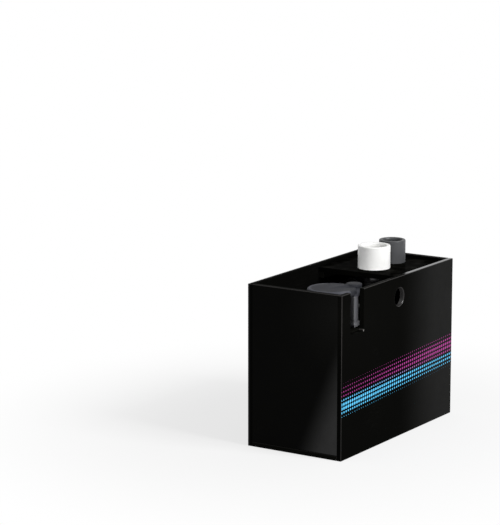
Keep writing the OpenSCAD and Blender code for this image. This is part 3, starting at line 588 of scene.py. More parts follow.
# %% [markdown]
# ## Moulded and extruded plastics
# The two sockets, the pipes, the pump and the cassette are moulded or extruded. A moulding has a fine
# grain from its tool, slow changes of shade where it cooled, and dust on top. One function makes all of
# them from a colour, a roughness and a grain size, so that they differ as the real ones do and still
# belong together.

# %% Moulded and extruded plastics
cooling_size, slow_low, slow_high, grain_share = 25 * MM, 0.35, 0.65, 0.5
shade_low, shade_high, wear_low, wear_high = 0.25, 0.75, 0.2, 0.8
loose_dust, dust_roughness = rgb(132, 130, 124), 0.12


def moulded(name, base, pale, rough, size, depth, dusty, specular=0.5):
    """A plastic: base and pale are its two shades, rough its two roughnesses, size and depth its grain in
    millimetres, and dusty the weight of the dust on it."""
    material, tree, shader, coordinates = start_finish(name)
    place = coordinates["Object"]
    skin = use(tree, grain, Place=place, Size=size * MM)
    slow = span(tree, noise(tree, place, cooling_size, 2.0), slow_low, slow_high)
    shade = weigh(tree, skin["Shade"], slow, grain_share)
    powder = use(tree, dust, Place=place, Facing=coordinates["Normal"])["Mask"]
    plain = tint(tree, span(tree, shade, shade_low, shade_high), base, pale)
    colour = wash(tree, plain, powder, dusty, loose_dust)
    worn = span(tree, shade, wear_low, wear_high, *rough)
    rough_all = calc(tree, "ADD", worn, times(tree, powder, dust_roughness))
    fill(tree, shader, Base_Color=colour, Roughness=rough_all, Specular_IOR_Level=specular)
    bump(tree, shader, skin["Height"], depth * MM)
    return material


def repaint(material, mask, colour):
    """Recolours a finish where mask(tree, place) is 1, by a mix just before the shader's base colour."""
    tree = material.node_tree
    shader = tree.nodes["Principled BSDF"]
    before = shader.inputs["Base Color"].links[0].from_socket
    place = add(tree, "ShaderNodeTexCoord").outputs["Object"]
    fill(tree, shader, Base_Color=tint(tree, mask(tree, place), before, colour))


white_pvc = moulded("white_pvc", rgb(244, 244, 242), rgb(251, 251, 250), rough=(0.26, 0.36),
                    size=6.0, depth=0.03, dusty=0.03)
grey_pvc = moulded("grey_pvc", rgb(60, 61, 63), rgb(69, 70, 72), rough=(0.40, 0.52),
                   size=5.0, depth=0.04, dusty=0.05, specular=0.4)
pump_grey = moulded("pump_grey", rgb(34, 35, 39), rgb(42, 43, 48), rough=(0.55, 0.68),
                    size=2.4, depth=0.08, dusty=0.04, specular=0.07)
pipe_grey = moulded("pipe_grey", rgb(96, 96, 100), rgb(108, 108, 112), rough=(0.30, 0.42),
                    size=4.0, depth=0.03, dusty=0.05, specular=0.4)
dark_plastic = moulded("dark_plastic", rgb(16, 16, 18), rgb(23, 23, 25), rough=(0.42, 0.56),
                       size=3.0, depth=0.06, dusty=0.06, specular=0.35)
rubber = moulded("black_rubber", rgb(18, 18, 18), rgb(27, 27, 26), rough=(0.66, 0.82),
                 size=2.0, depth=0.05, dusty=0.12, specular=0.3)
print("plastics:", [m.name for m in (white_pvc, grey_pvc, pump_grey, pipe_grey, dark_plastic, rubber)])

# %% [markdown]
# ## Metals, magnet and ceramic
# Inside the motor, the core is a stack of thin steel plates, the coils are varnished copper wire, the
# magnet is sintered ferrite with small pits, and the shaft is ground ceramic. Bands along an axis draw
# the plates, the wires and the grinding, and a Voronoi texture draws the pits. The impeller's shaft shows
# when the head is lifted off, and the rest only when the motor is opened.

# %% Metals, magnet and ceramic
wave_length, mottle_size, band_share = 0.314, 4 * MM, 0.6
pits_per_metre, pit_depth, speckle_size = 1400.0, 0.12 * MM, 3 * MM
pit_reach, in_pit_rough, off_pit_rough = 0.6, 0.75, 0.45


def banded(name, dark, light, metallic, rough, step, depth, direction):
    """Bands of width step along an axis: they tint the colour, change the roughness and raise the surface
    by depth, both in millimetres. At scale 1 the wave texture repeats after wave_length."""
    material, tree, shader, coordinates = start_finish(name)
    place = coordinates["Object"]
    bands = add(tree, "ShaderNodeTexWave", {"bands_direction": direction}, Vector=place,
                Scale=wave_length / (step * MM), Distortion=0.6, Detail=2.0).outputs["Fac"]
    shade = weigh(tree, bands, use(tree, grain, Place=place, Size=mottle_size)["Shade"], band_share)
    fill(tree, shader, Base_Color=tint(tree, shade, dark, light), Metallic=metallic,
         Roughness=span(tree, shade, wear_low, wear_high, rough[1], rough[0]))
    bump(tree, shader, bands, depth * MM)
    return material


def pitted(name, dark, light):
    """A sintered block: the distance to the nearest of many scattered points draws its pits."""
    material, tree, shader, coordinates = start_finish(name)
    place = coordinates["Object"]
    pits = add(tree, "ShaderNodeTexVoronoi", Vector=place, Scale=pits_per_metre).outputs["Distance"]
    mottle = use(tree, grain, Place=place, Size=speckle_size)["Shade"]
    fill(tree, shader, Base_Color=tint(tree, mottle, dark, light),
         Roughness=span(tree, pits, 0.0, pit_reach, in_pit_rough, off_pit_rough))
    bump(tree, shader, pits, pit_depth)
    return material


steel = banded("stacked_steel", rgb(120, 121, 124), rgb(190, 191, 194), metallic=1.0, rough=(0.28, 0.46),
               step=0.5, depth=0.04, direction="Z")
copper = banded("copper_wire", rgb(140, 72, 34), rgb(214, 132, 74), metallic=1.0, rough=(0.22, 0.40),
                step=0.6, depth=0.12, direction="DIAGONAL")
ceramic = banded("ground_ceramic", rgb(214, 208, 192), rgb(238, 234, 222), metallic=0.0,
                 rough=(0.14, 0.26), step=0.3, depth=0.006, direction="Z")
ferrite = pitted("sintered_ferrite", rgb(34, 33, 33), rgb(66, 64, 63))
print("metals:", steel.name, copper.name, ceramic.name, ferrite.name)

# %% [markdown]
# ## Finishes on the CAD solids
# Flat sheets, seals and the hidden motor parts keep their CAD shape, which is already right. The packed
# record says which material slot each solid has, so one table from slot to finish dresses all of them.
# The four walls of the case and the deck then get their own versions.

# %% Finishes on the CAD solids
finishes = {"black_sheet": black_sheet, "white_pvc": white_pvc, "grey_pvc": grey_pvc,
            "pump_grey": pump_grey, "dark_plastic": dark_plastic, "rubber": rubber, "steel": steel,
            "copper": copper, "ceramic": ceramic, "ferrite": ferrite}
own_finishes = {"front_panel": front_sheet, "left_panel": left_sheet, "right_panel": right_sheet,
                "back_panel": back_sheet, "pipe_deck": deck_sheet}
slot_of = {part["node"]: part["material_slot"] for part in frame["record"]["subparts"]}


def dress(node, material):
    """Puts a finish into every material slot of a CAD solid."""
    solid = nodes[node]
    if not solid.material_slots:
        solid.data.materials.append(material)
    for slot in solid.material_slots:
        slot.material = material


bare = [node for node, slot in slot_of.items() if slot not in finishes]
for node, slot in slot_of.items():
    if node not in bare:
        dress(node, own_finishes.get(node, finishes[slot]))
print("dressed", len(slot_of) - len(bare), "solids, left for later:", bare)

# %% [markdown]
# ## Building a surface from arrays
# A new piece starts as a grid of points: rows along a profile or a path, columns round it. The faces only
# say which neighbours join, so they come from the row and column numbers. The columns close on
# themselves, and so do the rows where a wall comes back to its start. Where a surface closes at a point
# instead, that point is a pole with a fan of triangles.

# %% Building a surface from arrays
def grid_faces(rows, columns, rows_close):
    """Quads of a grid: point (i, j) joins (i, j+1), (i+1, j+1) and (i+1, j). Columns wrap round, and rows
    do if they close."""
    i = np.arange(rows if rows_close else rows - 1)[:, None]
    j = np.arange(columns)[None, :]
    i2, j2 = (i + 1) % rows, (j + 1) % columns
    corners = [i * columns + j, i * columns + j2, i2 * columns + j2, i2 * columns + j]
    return np.stack(corners, -1).reshape(-1, 4).tolist()


def fan_faces(pole, ring):
    """Triangles from a pole to each step of a closed ring."""
    return np.stack([np.full(len(ring), pole), ring, np.roll(ring, -1)], -1).tolist()


def with_poles(rings, poles):
    """Rings of points that close to a pole before the first ring and after the last."""
    count, columns = rings.shape[:2]
    ring = np.arange(columns)
    faces = grid_faces(count, columns, False) + fan_faces(count * columns, ring)
    faces += fan_faces(count * columns + 1, ring + (count - 1) * columns)
    return np.concatenate([rings.reshape(-1, 3), poles]), faces


def with_bars(points, faces, bars):
    """Adds straight bars to a surface. Each bar is its two end outlines: a band joins them, and a face
    closes each."""
    size = bars.shape[2]
    for k in range(len(bars)):
        first = len(points) + 2 * size * k
        faces = faces + (np.array(grid_faces(2, size, False)) + first).tolist()
        faces += [list(range(first, first + size)), list(range(first + size, first + 2 * size))]
    return np.concatenate([points, bars.reshape(-1, 3)]), faces


def make_piece(name, points, faces, body, material, stands_for, sharp=32.0):
    """Puts points (in millimetres) and faces into a mesh, turns the faces outwards, and hands the piece
    to a body. Edges that turn by more than sharp degrees stay sharp."""
    mesh = bpy.data.meshes.new(name)
    mesh.from_pydata((np.asarray(points).reshape(-1, 3) * MM).tolist(), [], faces)
    work = bmesh.new()
    work.from_mesh(mesh)
    bmesh.ops.recalc_face_normals(work, faces=work.faces)
    work.to_mesh(mesh)
    work.free()
    mesh.polygons.foreach_set("use_smooth", np.ones(len(mesh.polygons), bool))
    mesh.set_sharp_from_angle(angle=math.radians(sharp))
    mesh.materials.append(material)
    piece = bpy.data.objects.new(name, mesh)
    scene.collection.objects.link(piece)
    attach(piece, body)
    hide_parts(*stands_for)
    print(name, "has", len(mesh.vertices), "points")
    return piece


print("surface helpers ready")

# %% [markdown]
# ## Turned forms
# Sockets, pipes and plugs are round, as if made on a lathe. A profile of a few corners is softened with
# short arcs and carried round an upright axis. Where the profile is closed the result is a ring, and
# where it starts and ends on the axis it is a solid.

# %% Turned forms
arc_steps = 6


def rounded(corners, steps=arc_steps):
    """A closed outline with soft corners: each (a, b, softness) is replaced by a quadratic arc that
    starts and ends that far from the corner along its two sides."""
    outline = np.array(corners, float)
    point, cut = outline[:, None, :2], outline[:, None, 2:]
    back, on = np.roll(point, 1, 0) - point, np.roll(point, -1, 0) - point
    start = point + cut * back / np.linalg.norm(back, axis=2, keepdims=True)
    end = point + cut * on / np.linalg.norm(on, axis=2, keepdims=True)
    t = np.linspace(0, 1, steps)[None, :, None]
    return ((1 - t) ** 2 * start + 2 * t * (1 - t) * point + t ** 2 * end).reshape(-1, 2)


def circles(profile, centre, steps):
    """A circle round an upright axis for each (radius, height): x and y are radius times cosine and
    sine."""
    angle = np.linspace(0, 2 * np.pi, steps, endpoint=False)
    radius, height = profile[:, :1], profile[:, 1:]
    return np.stack([centre[0] + radius * np.cos(angle), centre[1] + radius * np.sin(angle),
                     np.broadcast_to(height, (len(profile), steps))], -1)


def turned(corners, centre, steps=128):
    """A closed profile of corners (radius, height, softness), carried round an upright axis."""
    outline = rounded(corners)
    return circles(outline, centre, steps), grid_faces(len(outline), steps, True)


def turned_solid(corners, centre, steps=128):
    """A profile whose first and last corners are sharp and lie on the axis: circles between them, and a
    pole in the place of each."""
    profile = rounded(corners)[arc_steps - 1:1 - arc_steps]
    poles = np.array([[*centre, profile[0, 1]], [*centre, profile[-1, 1]]])
    return with_poles(circles(profile[1:-1], centre, steps), poles)


def box_mm(node):
    """Lowest and highest corner of a CAD node, in millimetres."""
    return [np.array(corner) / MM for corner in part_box(node)]


def middle(node):
    """Axis of a round CAD node, and its lowest and highest level, in millimetres."""
    low, high = box_mm(node)
    return (low + high)[:2] / 2, low[2], high[2]


print("arcs of", arc_steps, "points")

# %% [markdown]
# ## Pipe sockets
# A white drain socket and a slimmer grey return socket stand on the deck. Each is a turned form: a plain
# barrel with a soft lip, a bore with a shoulder that stops the pipe, and below the deck a threaded tail
# for its nut. A lathe profile is the natural way to draw them, and the thread is a row of small ridges in
# the same profile. Below the level of the deck the white finish is painted dark, as painted shade under
# the deck.

# %% Pipe sockets
deck_top, nut_low = box_mm("pipe_deck")[1][2], box_mm("drain_nut")[0][2]
ridge_count, ridge_step, ridge_depth, ridge_soft = 13, 0.75, 0.35, 0.1
first_ridge = nut_low - 3.0
lip_soft, lead_in_w, lead_in_h = 1.1, 0.9, 1.6
under_deck_shade_black, under_deck_shade_full, under_deck_shade_ends = rgb(20, 20, 19), deck_top - 0.6, deck_top - 0.1


def socket_corners(outer, bore, seat, tail, tail_bore, low, top):
    """Profile of a socket, from the tail's foot up its ridged outside, over the barrel and back down the
    bore."""
    ridges = [(tail - ridge_depth * (k % 2), first_ridge + ridge_step * k, ridge_soft)
              for k in range(ridge_count)]
    return [(tail_bore, low, 0.25), (tail, low, 0.4), *ridges, (tail, deck_top, 0.05),
            (outer, deck_top, 0.35), (outer, top, lip_soft), (bore + lead_in_w, top, 0.5),
            (bore, top - lead_in_h, 0.5), (bore, seat, 0.2), (tail_bore, seat, 0.5)]


def under_deck_shade(tree, place):
    """1 below the top of the deck, where shade is painted."""
    return span(tree, split(tree, place)["Z"], under_deck_shade_full * MM, under_deck_shade_ends * MM, 1.0, 0.0)


for socket, finish, tail, tail_bore in (("drain_socket", white_pvc, 12.0, 10.05),
                                        ("return_socket", grey_pvc, 9.0, 7.5)):
    axis, low, top = middle(socket)
    outer = box_mm(socket)[1][0] - axis[0]
    bore, bore_depth = mounts[socket]["dims"]["r_mm"], mounts[socket]["dims"]["length_mm"]
    points, faces = turned(socket_corners(outer, bore, top - bore_depth, tail, tail_bore, low, top), axis)
    make_piece(socket + "_turned", points, faces, "case", finish, [socket])
# Painted shade: every white part below the level of the deck is tinted dark.
repaint(white_pvc, under_deck_shade, under_deck_shade_black)

# %% [markdown]
# ## Intake pipe
# A slim grey pipe drops from the pump head past the notch in the front and down to the strainer near the
# floor of the box. Where it passes the shelf it has a collar. It is one turned profile with softened
# corners.

# %% Intake pipe
intake, low, top = middle("intake_pipe")
intake_r, intake_bore, stop_r, stop_h, shelf_gap = 4.5, 3.2, 6.3, 4.0, 0.4
stop_low = box_mm("pump_shelf")[1][2] + shelf_gap
stop_top = stop_low + stop_h
corners = [(intake_bore, low, 0.3), (intake_r, low, 0.3), (intake_r, stop_low, 0.3),
           (stop_r, stop_low, 0.7), (stop_r, stop_top, 0.9), (intake_r, stop_top, 0.6),
           (intake_r, top, 0.3), (intake_bore, top, 0.3)]
points, faces = turned(corners, intake, 72)
make_piece("intake_pipe_turned", points, faces, "head", pipe_grey, ["intake_pipe"])

# %% [markdown]
# ## Pump head as a distance field
# The head is one moulding: a round disc that swells along a short arm into an elbow over the intake pipe.
# Separate solids would meet in hard creases. Here the disc, the arm and the barrel of the elbow are
# distance fields, and a smooth minimum melts them together with soft fillets.

# %% Pump head as a distance field
pump, casing_top = middle("motor_can")[0], box_mm("pump_casing")[1][2]
head_low, head_high = middle("pump_head")[1:]
arm = intake - pump
arm_l, arm_turn = np.linalg.norm(arm), math.atan2(arm[1], arm[0])
disc_r, disc_t, disc_soft = 24.5, 6.0, 1.9
limb_r, limb_low, limb_rise = 5.3, 0.1, 3.0
leg_low, barrel_top = head_high - 12.5, head_high - 3.8
barrel_r, foot_r, foot_slope, slope_scale = 7.8, 5.5, 0.46, 0.9
limb_inset, foot_inset, barrel_inset = 0.3, 0.2, 0.1
limb_melt, disc_melt, seat_r = 1.5, 2.2, 19.4


def melt(a, b, width):
    """Smooth minimum of two distances: it rounds the crease over a band of that width."""
    h = np.clip(0.5 + 0.5 * (b - a) / width, 0, 1)
    return b + (a - b) * h - width * h * (1 - h)


def head_field(u, v, z):
    """Distance to the head's skin, negative inside; u runs along the arm, v across it and z up. The disc
    is a rounded cylinder, the limb a rising capsule, and the barrel a cylinder on a cone. The casing's
    place below the disc is cut out."""
    r, half = np.hypot(u, v), disc_t / 2
    a, b = r - (disc_r - disc_soft), np.abs(z - casing_top - half) - (half - disc_soft)
    disc = np.minimum(np.maximum(a, b), 0) + np.hypot(np.maximum(a, 0), np.maximum(b, 0)) - disc_soft
    t = np.clip(u / arm_l, 0, 1)
    axis_z = casing_top + limb_low + limb_rise * t
    limb = np.sqrt((u - t * arm_l) ** 2 + v ** 2 + (z - axis_z) ** 2) - limb_r
    limb = np.maximum(limb, z - head_high + limb_inset)
    side = np.hypot(u - arm_l, v)
    cone = (side - foot_r - foot_slope * (z - leg_low)) * slope_scale
    ends = np.maximum(leg_low + foot_inset - z, z - barrel_top + barrel_inset)
    barrel = np.maximum(np.maximum(side - barrel_r, cone), ends)
    body = melt(disc, melt(limb, barrel, limb_melt), disc_melt)
    return np.maximum(body, np.minimum(seat_r - r, casing_top - z))


print("arm", round(float(arm_l), 1), "mm long, turned", round(math.degrees(arm_turn), 1), "degrees")

# %% [markdown]
# ## Pump head as two height fields
# Every upright line meets the skin of the head once going in and once coming out, so the head is two
# height fields over a polar grid, top and underside, that meet at the rim. The columns are closest on the
# side of the arm. The rim is found on a ladder of radii and the heights by halving an interval, for all
# grid points at once.

# %% Pump head as two height fields
columns, rows, floors, halvings = 420, 71, 131, 40
nearest, farthest, rungs, margin = 22.0, 38.0, 161, 1.0
even_share, rim_share = 0.3, 0.9999
s = (np.arange(columns) + 0.5) * 2 / columns - 1
theta = np.pi * (even_share * s + (1 - even_share) * s ** 3)
levels = np.linspace(leg_low - margin, head_high + margin, floors)[:, None, None]
ladder = np.linspace(nearest, farthest, rungs)
depth = head_field(ladder[:, None] * np.cos(theta), ladder[:, None] * np.sin(theta), levels).min(0)
last, column = (depth < 0).sum(0) - 1, np.arange(columns)
here, beyond = depth[last, column], depth[last + 1, column]
rim_r = ladder[last] + (ladder[1] - ladder[0]) * here / (here - beyond)

t = np.sin(np.linspace(0, np.pi / 2, rows))[1:, None]
t[-1] = rim_share
u, v = t * rim_r * np.cos(theta), t * rim_r * np.sin(theta)
inner = levels[head_field(u, v, levels).argmin(0), 0, 0]


def skin(outside):
    """Height between the inner points and a level outside where the field changes sign, by halving."""
    start, end = inner, np.full_like(u, outside)
    for step in range(halvings):
        half = (start + end) / 2
        within = head_field(u, v, half) < 0
        start, end = np.where(within, half, start), np.where(within, end, half)
    return start


upper, under = skin(head_high + 2 * margin), skin(leg_low - 2 * margin)
cosine, sine = math.cos(arm_turn), math.sin(arm_turn)
plan = np.stack([cosine * u - sine * v, sine * u + cosine * v], -1) + pump
rings = np.concatenate([np.dstack([plan, upper]), np.dstack([plan, under])[-2::-1]])
points, faces = with_poles(rings, np.array([[*pump, upper[0].mean()], [*pump, under[0].mean()]]))
make_piece("pump_head_shell", points, faces, "head", pump_grey, ["pump_head"], sharp=50.0)

# %% [markdown]
# ## Painted light on the head
# The rim is painted paler on the side away from the elbow, and so is the elbow's leg. This is painted
# light: a sheen along the rim, and light on the leg where it stands in shade. Distances from the two axes
# say where that is, so the mask needs no picture.

# %% Painted light on the head
painted_light_grey = rgb(70, 71, 77)
rim_from, rim_full, near_elbow, past_elbow = disc_r - 5.0, disc_r - 2.5, 27.0, 30.0
leg_r, off_leg_r, leg_full = 8.1, 9.0, barrel_top - 3.0


def painted_head_light(tree, place):
    """1 where light is painted: along the rim away from the elbow and on the elbow's leg; 0 on the rest.
    """
    spot = split(tree, place)
    from_pump = distance(tree, spot["X"], spot["Y"], pump * MM)
    from_intake = distance(tree, spot["X"], spot["Y"], intake * MM)
    rim_band = times(tree, span(tree, from_pump, rim_from * MM, rim_full * MM),
                     span(tree, from_intake, near_elbow * MM, past_elbow * MM))
    leg = times(tree, span(tree, spot["Z"], leg_full * MM, barrel_top * MM, 1.0, 0.0),
                span(tree, from_intake, leg_r * MM, off_leg_r * MM, 1.0, 0.0))
    return calc(tree, "MAXIMUM", rim_band, leg)


# Painted light: the rim and the leg are tinted paler.
repaint(pump_grey, painted_head_light, painted_light_grey)
print("rubbed:", pump_grey.name)

# %% [markdown]
# ## Elbow cap
# The elbow ends in a flat round cap with a groove under it, and its leg narrows to a socket for the
# intake pipe. The groove is an undercut, which a height field can't show, so this part is turned from a
# profile. It runs from the roof of the socket down to its lip, up the leg and over the cap to the middle.

# %% Elbow cap
cap_r, cap_t, groove_r = 8.0, 3.0, 7.2
pipe_hole_r, pipe_hole_h, leg_foot_r, leg_taper_h = 4.55, 4.5, 5.7, 5.0
hole_roof, cap_low = leg_low + pipe_hole_h, head_high - cap_t
corners = [(0.0, hole_roof, 0.0), (pipe_hole_r, hole_roof, 0.2), (pipe_hole_r, leg_low, 0.3),
           (leg_foot_r, leg_low, 0.5), (cap_r, leg_low + leg_taper_h, 1.0), (cap_r, barrel_top, 0.5),
           (groove_r, barrel_top, 0.2), (groove_r, cap_low, 0.2), (cap_r, cap_low, 0.5),
           (cap_r, head_high, 1.1), (0.0, head_high, 0.0)]
points, faces = turned_solid(corners, intake)
make_piece("pump_head_elbow", points, faces, "head", pump_grey, ["pump_head"])

# %% [markdown]
# ## Plug under the head
# Below the disc, a round plug fits into the casing and carries the sealing ring in a groove. Its eye lets
# the water through to the impeller. It is a turned ring, and it shows when the head is lifted.

# %% Plug under the head
plug_r, eye_r = 16.1, 8.67
ring_groove_r, ring_groove_half, ring_z = 14.1, 1.05, casing_top - 6.0
groove_low, groove_high = ring_z - ring_groove_half, ring_z + ring_groove_half
corners = [(eye_r, casing_top, 0.1), (eye_r, head_low, 0.6), (plug_r, head_low, 0.8),
           (plug_r, groove_low, 0.2), (ring_groove_r, groove_low, 0.2), (ring_groove_r, groove_high, 0.2),
           (plug_r, groove_high, 0.2), (plug_r, casing_top, 0.1)]
points, faces = turned(corners, pump)
make_piece("pump_head_plug", points, faces, "head", pump_grey, ["pump_head"])

# %% [markdown]
# ## Spider in the eye
# Three thin webs in the eye of the plug hold the boss of the upper bearing. The boss is a turned solid
# with a blind hole for the bush, and each web is a straight bar with soft edges that runs from inside the
# boss to inside the plug.

# %% Spider in the eye
boss_r, boss_h, boss_low = 3.9, 7.0, head_low + 0.4
bush_r, bush_roof, boss_top = 2.65, boss_low + 5.85, boss_low + boss_h
web_half, web_soft, web_from, web_to = 0.6, 0.25, 3.4, 9.4
corners = [(0.0, bush_roof, 0.0), (bush_r, bush_roof, 0.2), (bush_r, boss_low, 0.2),
           (boss_r, boss_low, 0.4), (boss_r, boss_top, 0.5), (0.0, boss_top, 0.0)]
boss, faces = turned_solid(corners, pump, 48)
section = rounded([(-web_half, boss_low, web_soft), (web_half, boss_low, web_soft),
                   (web_half, boss_top, web_soft), (-web_half, boss_top, web_soft)])
web_angle = np.radians([0.0, 120.0, 240.0])[:, None, None]
out = np.array([web_from, web_to])[None, :, None]
wide, tall = section[:, 0], section[:, 1]
web_x = pump[0] + out * np.cos(web_angle) - wide * np.sin(web_angle)
web_y = pump[1] + out * np.sin(web_angle) + wide * np.cos(web_angle)
webs = np.stack([web_x, web_y, np.broadcast_to(tall, web_x.shape)], -1)
points, faces = with_bars(boss, faces, webs)
make_piece("pump_head_spider", points, faces, "head", pump_grey, ["pump_head"])

# %% [markdown]
# ## Delivery pipe
# The pump pushes the water through a grey pipe along the back sheet to the return socket. It is one tube
# with two bends. A circle carried along the middle line gives the tube: the rows run out along the
# outside and come back along the bore, so the wall closes at both ends.

# %% Delivery pipe
def bent(corners, bend, steps=24):
    """A path with round right-angled bends: at each inner corner it runs from the corner minus bend along
    the way in to the corner plus bend along the way out, on a quarter circle."""
    corner = np.array(corners, float)
    way = np.diff(corner, axis=0)
    way /= np.linalg.norm(way, axis=1, keepdims=True)
    into, out = way[:-1, None], way[1:, None]
    hub = corner[1:-1, None] + bend * (out - into)
    t = np.linspace(0, np.pi / 2, steps)[None, :, None]
    arcs = hub + bend * (into * np.sin(t) - out * np.cos(t))
    return np.concatenate([corner[:1], arcs.reshape(-1, 3), corner[-1:]])


def sides(path, up):
    """The way across a path that lies in a plane: the plane's upright crossed with the way ahead."""
    ahead = np.gradient(path, axis=0)
    ahead /= np.linalg.norm(ahead, axis=1, keepdims=True)
    return np.cross(up, ahead)


def rings_along(path, side, up, radius, steps=64):
    """A circle at each point of a path: the point plus radius times (side times cosine plus up times
    sine)."""
    angle = np.linspace(0, 2 * np.pi, steps, endpoint=False)[None, :, None]
    radius = np.array(radius)[:, None, None]
    return path[:, None] + radius * (side[:, None] * np.cos(angle) + up * np.sin(angle))


upright = np.array([0.0, 0.0, 1.0])
low, high = box_mm("delivery_pipe")
pipe_r, pipe_bore, collar_r, pipe_bend, return_y = 7.5, 6.0, 9.0, 16.0, 9.4
pipe_z = (low[2] + high[2]) / 2
out_x, back_x, run_y = low[0] + collar_r, high[0] - collar_r, high[1] - collar_r
route = [(out_x, low[1], pipe_z), (out_x, run_y, pipe_z), (back_x, run_y, pipe_z),
         (back_x, return_y, pipe_z)]
path = bent(route, pipe_bend)
there_and_back = np.concatenate([path, path[::-1]])
across = sides(path, upright)
points = rings_along(there_and_back, np.concatenate([across, across[::-1]]), upright,
                     np.repeat([pipe_r, pipe_bore], len(path)))
faces = grid_faces(*points.shape[:2], True)
make_piece("delivery_pipe_bent", points, faces, "case", grey_pvc, ["delivery_pipe"])

# %% [markdown]
# ## Glued collars
# Each end of a bend is glued into a collar. A collar is a short ring of its own that starts inside the
# pipe's wall, with a small bevel at both ends.

# %% Glued collars
collar_from, collar_to, collar_bevel = -1.0, 3.0, 0.3
wall_r = (pipe_r + pipe_bore) / 2
along = np.array([collar_from, collar_from + collar_bevel, collar_to - collar_bevel, collar_to, collar_to,
                  collar_from])
radii = [collar_r - collar_bevel, collar_r, collar_r, collar_r - collar_bevel, wall_r, wall_r]
bend_ends = [((out_x, run_y - pipe_bend, pipe_z), (0, 1, 0)),
             ((out_x + pipe_bend, run_y, pipe_z), (-1, 0, 0)),
             ((back_x - pipe_bend, run_y, pipe_z), (1, 0, 0)),
             ((back_x, run_y - pipe_bend, pipe_z), (0, 1, 0))]
collars, faces = [], []
for bend_end, way in bend_ends:
    path = np.array(bend_end) + along[:, None] * np.array(way)
    collar = rings_along(path, np.cross(upright, way)[None], upright, radii)
    first = len(collars) * collar[..., 0].size
    faces += (np.array(grid_faces(*collar.shape[:2], True)) + first).tolist()
    collars.append(collar)
points = np.concatenate(collars)
make_piece("delivery_pipe_collars", points, faces, "case", grey_pvc, ["delivery_pipe"])

# %% [markdown]
# ## Cassette handle
# The cassette is lifted by a moulded bar on two posts that stand on straps. On the real part the bar runs
# into the posts in a round bend, so the bar and posts are one rod on a bent path, and the straps are flat
# bars with soft edges.

# %% Cassette handle
low, high = box_mm("cassette_handle")
rod_r, rod_bend, rod_sunk, post_off = 3.0, 5.0, 1.0, 20.0
strap_half, strap_t = 4.0, 3.0
grip_x, grip_y = (low + high)[:2] / 2
post_low, grip_z = low[2] + strap_t - rod_sunk, high[2] - rod_r
posts = np.array([grip_y - post_off, grip_y + post_off])
path = bent([(grip_x, posts[0], post_low), (grip_x, posts[0], grip_z), (grip_x, posts[1], grip_z),
             (grip_x, posts[1], post_low)], rod_bend)
sideways = np.array([1.0, 0.0, 0.0])
rings = rings_along(path, sides(path, sideways), sideways, np.full(len(path), rod_r), 40)
rod, faces = with_poles(rings, path[[0, -1]])
section = rounded([(-strap_half, 0.0, 0.5), (strap_half, 0.0, 0.5), (strap_half, strap_t, 0.8),
                   (-strap_half, strap_t, 0.8)])
strap_ends = np.array([low[0], high[0]])[None, :, None]
strap_y, strap_z = posts[:, None, None] + section[:, 0], low[2] + section[:, 1]
straps = np.stack(np.broadcast_arrays(strap_ends, strap_y, strap_z), -1)
points, faces = with_bars(rod, faces, straps)
make_piece("cassette_handle_rod", points, faces, "cassette", dark_plastic,
           ["cassette_handle"])

# %% [markdown]
# ## Foam finish
# The cassette holds a block of blue open-cell foam. Two Voronoi textures, one finer, draw its cells: dark
# where a cell is open, which is painted shade in the pores, and pale along the threads between them.

# %% Foam finish
cells_per_metre, fine_cells_per_metre, cell_depth = 620.0, 1500.0, 0.8 * MM
open_at, thread_at, fine_open_at, fine_thread_at, fine_least = 0.1, 0.6, 0.05, 0.55, 0.55
foam_mottle, foam_specular, open_rough, thread_rough = 12 * MM, 0.2, 0.95, 0.8
pore_shade_blue, thread_blue, pale_thread_blue = rgb(8, 16, 34), rgb(30, 56, 98), rgb(48, 84, 136)

foam, tree, shader, coordinates = start_finish("filter_foam")
place = coordinates["Object"]
cells = add(tree, "ShaderNodeTexVoronoi", Vector=place, Scale=cells_per_metre).outputs["Distance"]
fine = add(tree, "ShaderNodeTexVoronoi", Vector=place, Scale=fine_cells_per_metre).outputs["Distance"]
from_open = times(tree, span(tree, cells, open_at, thread_at),
                  span(tree, fine, fine_open_at, fine_thread_at, fine_least, 1.0))
mottle = use(tree, grain, Place=place, Size=foam_mottle)["Shade"]
thread = tint(tree, mottle, thread_blue, pale_thread_blue)
fill(tree, shader, Base_Color=tint(tree, from_open, pore_shade_blue, thread), Specular_IOR_Level=foam_specular,
     Roughness=span(tree, from_open, 0.0, 1.0, open_rough, thread_rough))
bump(tree, shader, from_open, cell_depth)
print("foam finish:", foam.name)

# %% [markdown]
# ## Outline and rows of the foam block
# The block is soft, so its edges are round and its faces swell a little between the walls. It is a
# rounded rectangle carried up in rows: over the flat end, round the edge, up the side, and back in at the
# top. The outline is spaced evenly first, so that pores come out the same size all round.

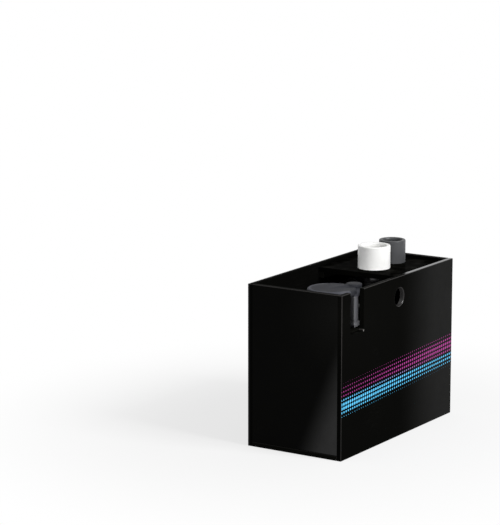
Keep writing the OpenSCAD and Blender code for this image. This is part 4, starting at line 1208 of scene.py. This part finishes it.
# %% Outline and rows of the foam block
low, high = box_mm("filter_sponge")
play, corner_soft, corner_steps = 0.25, 3.0, 8
edge_r, edge_draw, edge_gap, edge_from, edge_to = 2.4, 0.12, 0.5, 0.1, 1.57
columns, end_rows, edge_rows, side_rows, smallest = 260, 26, 8, 150, 0.04
centre, half = (low + high) / 2, (high - low) / 2 - play
loop = rounded([(-half[0], -half[1], corner_soft), (half[0], -half[1], corner_soft),
                (half[0], half[1], corner_soft), (-half[0], half[1], corner_soft)], corner_steps)
closed = np.concatenate([loop, loop[:1]])
walked = np.concatenate([[0], np.cumsum(np.linalg.norm(np.diff(closed, axis=0), axis=1))])
even = np.linspace(0, walked[-1], columns, endpoint=False)
loop_x, loop_y = np.interp(even, walked, closed[:, 0]), np.interp(even, walked, closed[:, 1])

edge_turn = np.linspace(edge_from, edge_to, edge_rows)
end_size = np.concatenate([np.linspace(smallest, 1 - edge_draw, end_rows),
                           1 - edge_draw * (1 - np.sin(edge_turn))])
end_rise = np.concatenate([np.zeros(end_rows), edge_r * (1 - np.cos(edge_turn))])
side_half = half[2] - edge_r - edge_gap
level = np.concatenate([end_rise - half[2], np.linspace(-side_half, side_half, side_rows),
                        half[2] - end_rise[::-1]])
size = np.concatenate([end_size, np.ones(side_rows), end_size[::-1]])
print("foam block:", len(level), "rows of", columns, "points")

# %% [markdown]
# ## Filter foam
# The skin of the foam is full of pores. Products of sines push each point in, away from the nearest face,
# which gives the coarse pores, and the finish adds the finer ones. The foam fills its cassette.

# %% Filter foam
swell, swell_waves, pore_depth, pore_bias = 0.02, 9.0, 0.45, 0.15
nearest_face_power, tiny = 9, 1e-9


def pores(x, y, z):
    """Three sines multiplied, one along each axis, whose phases wander with a sine of the next axis."""
    return (np.sin(2.9 * x + 1.3 * np.sin(1.7 * z)) * np.sin(2.7 * y + 1.1 * np.sin(2.1 * x)) *
            np.sin(2.3 * z + 1.7 * np.sin(1.9 * y)))


waist = 1 - swell * np.sin(level / half[2] * swell_waves) ** 2
x, y, z = np.broadcast_arrays(loop_x * (size * waist)[:, None], loop_y * size[:, None], level[:, None])
outward = np.stack(np.broadcast_arrays(loop_x / half[0], loop_y / half[1], level[:, None] / half[2]), -1)
outward = outward ** nearest_face_power
outward /= np.linalg.norm(outward, axis=2, keepdims=True) + tiny
dent = pore_depth * np.clip(pores(x, y, z) + pore_bias, 0, 1)
rings = np.stack([x, y, z], -1) - outward * dent[..., None] + centre
points, faces = with_poles(rings, np.array([rings[0].mean(0), rings[-1].mean(0)]))
pad = make_piece("filter_foam_block", points, faces, "cassette", foam, ["filter_sponge"],
                 sharp=180.0)
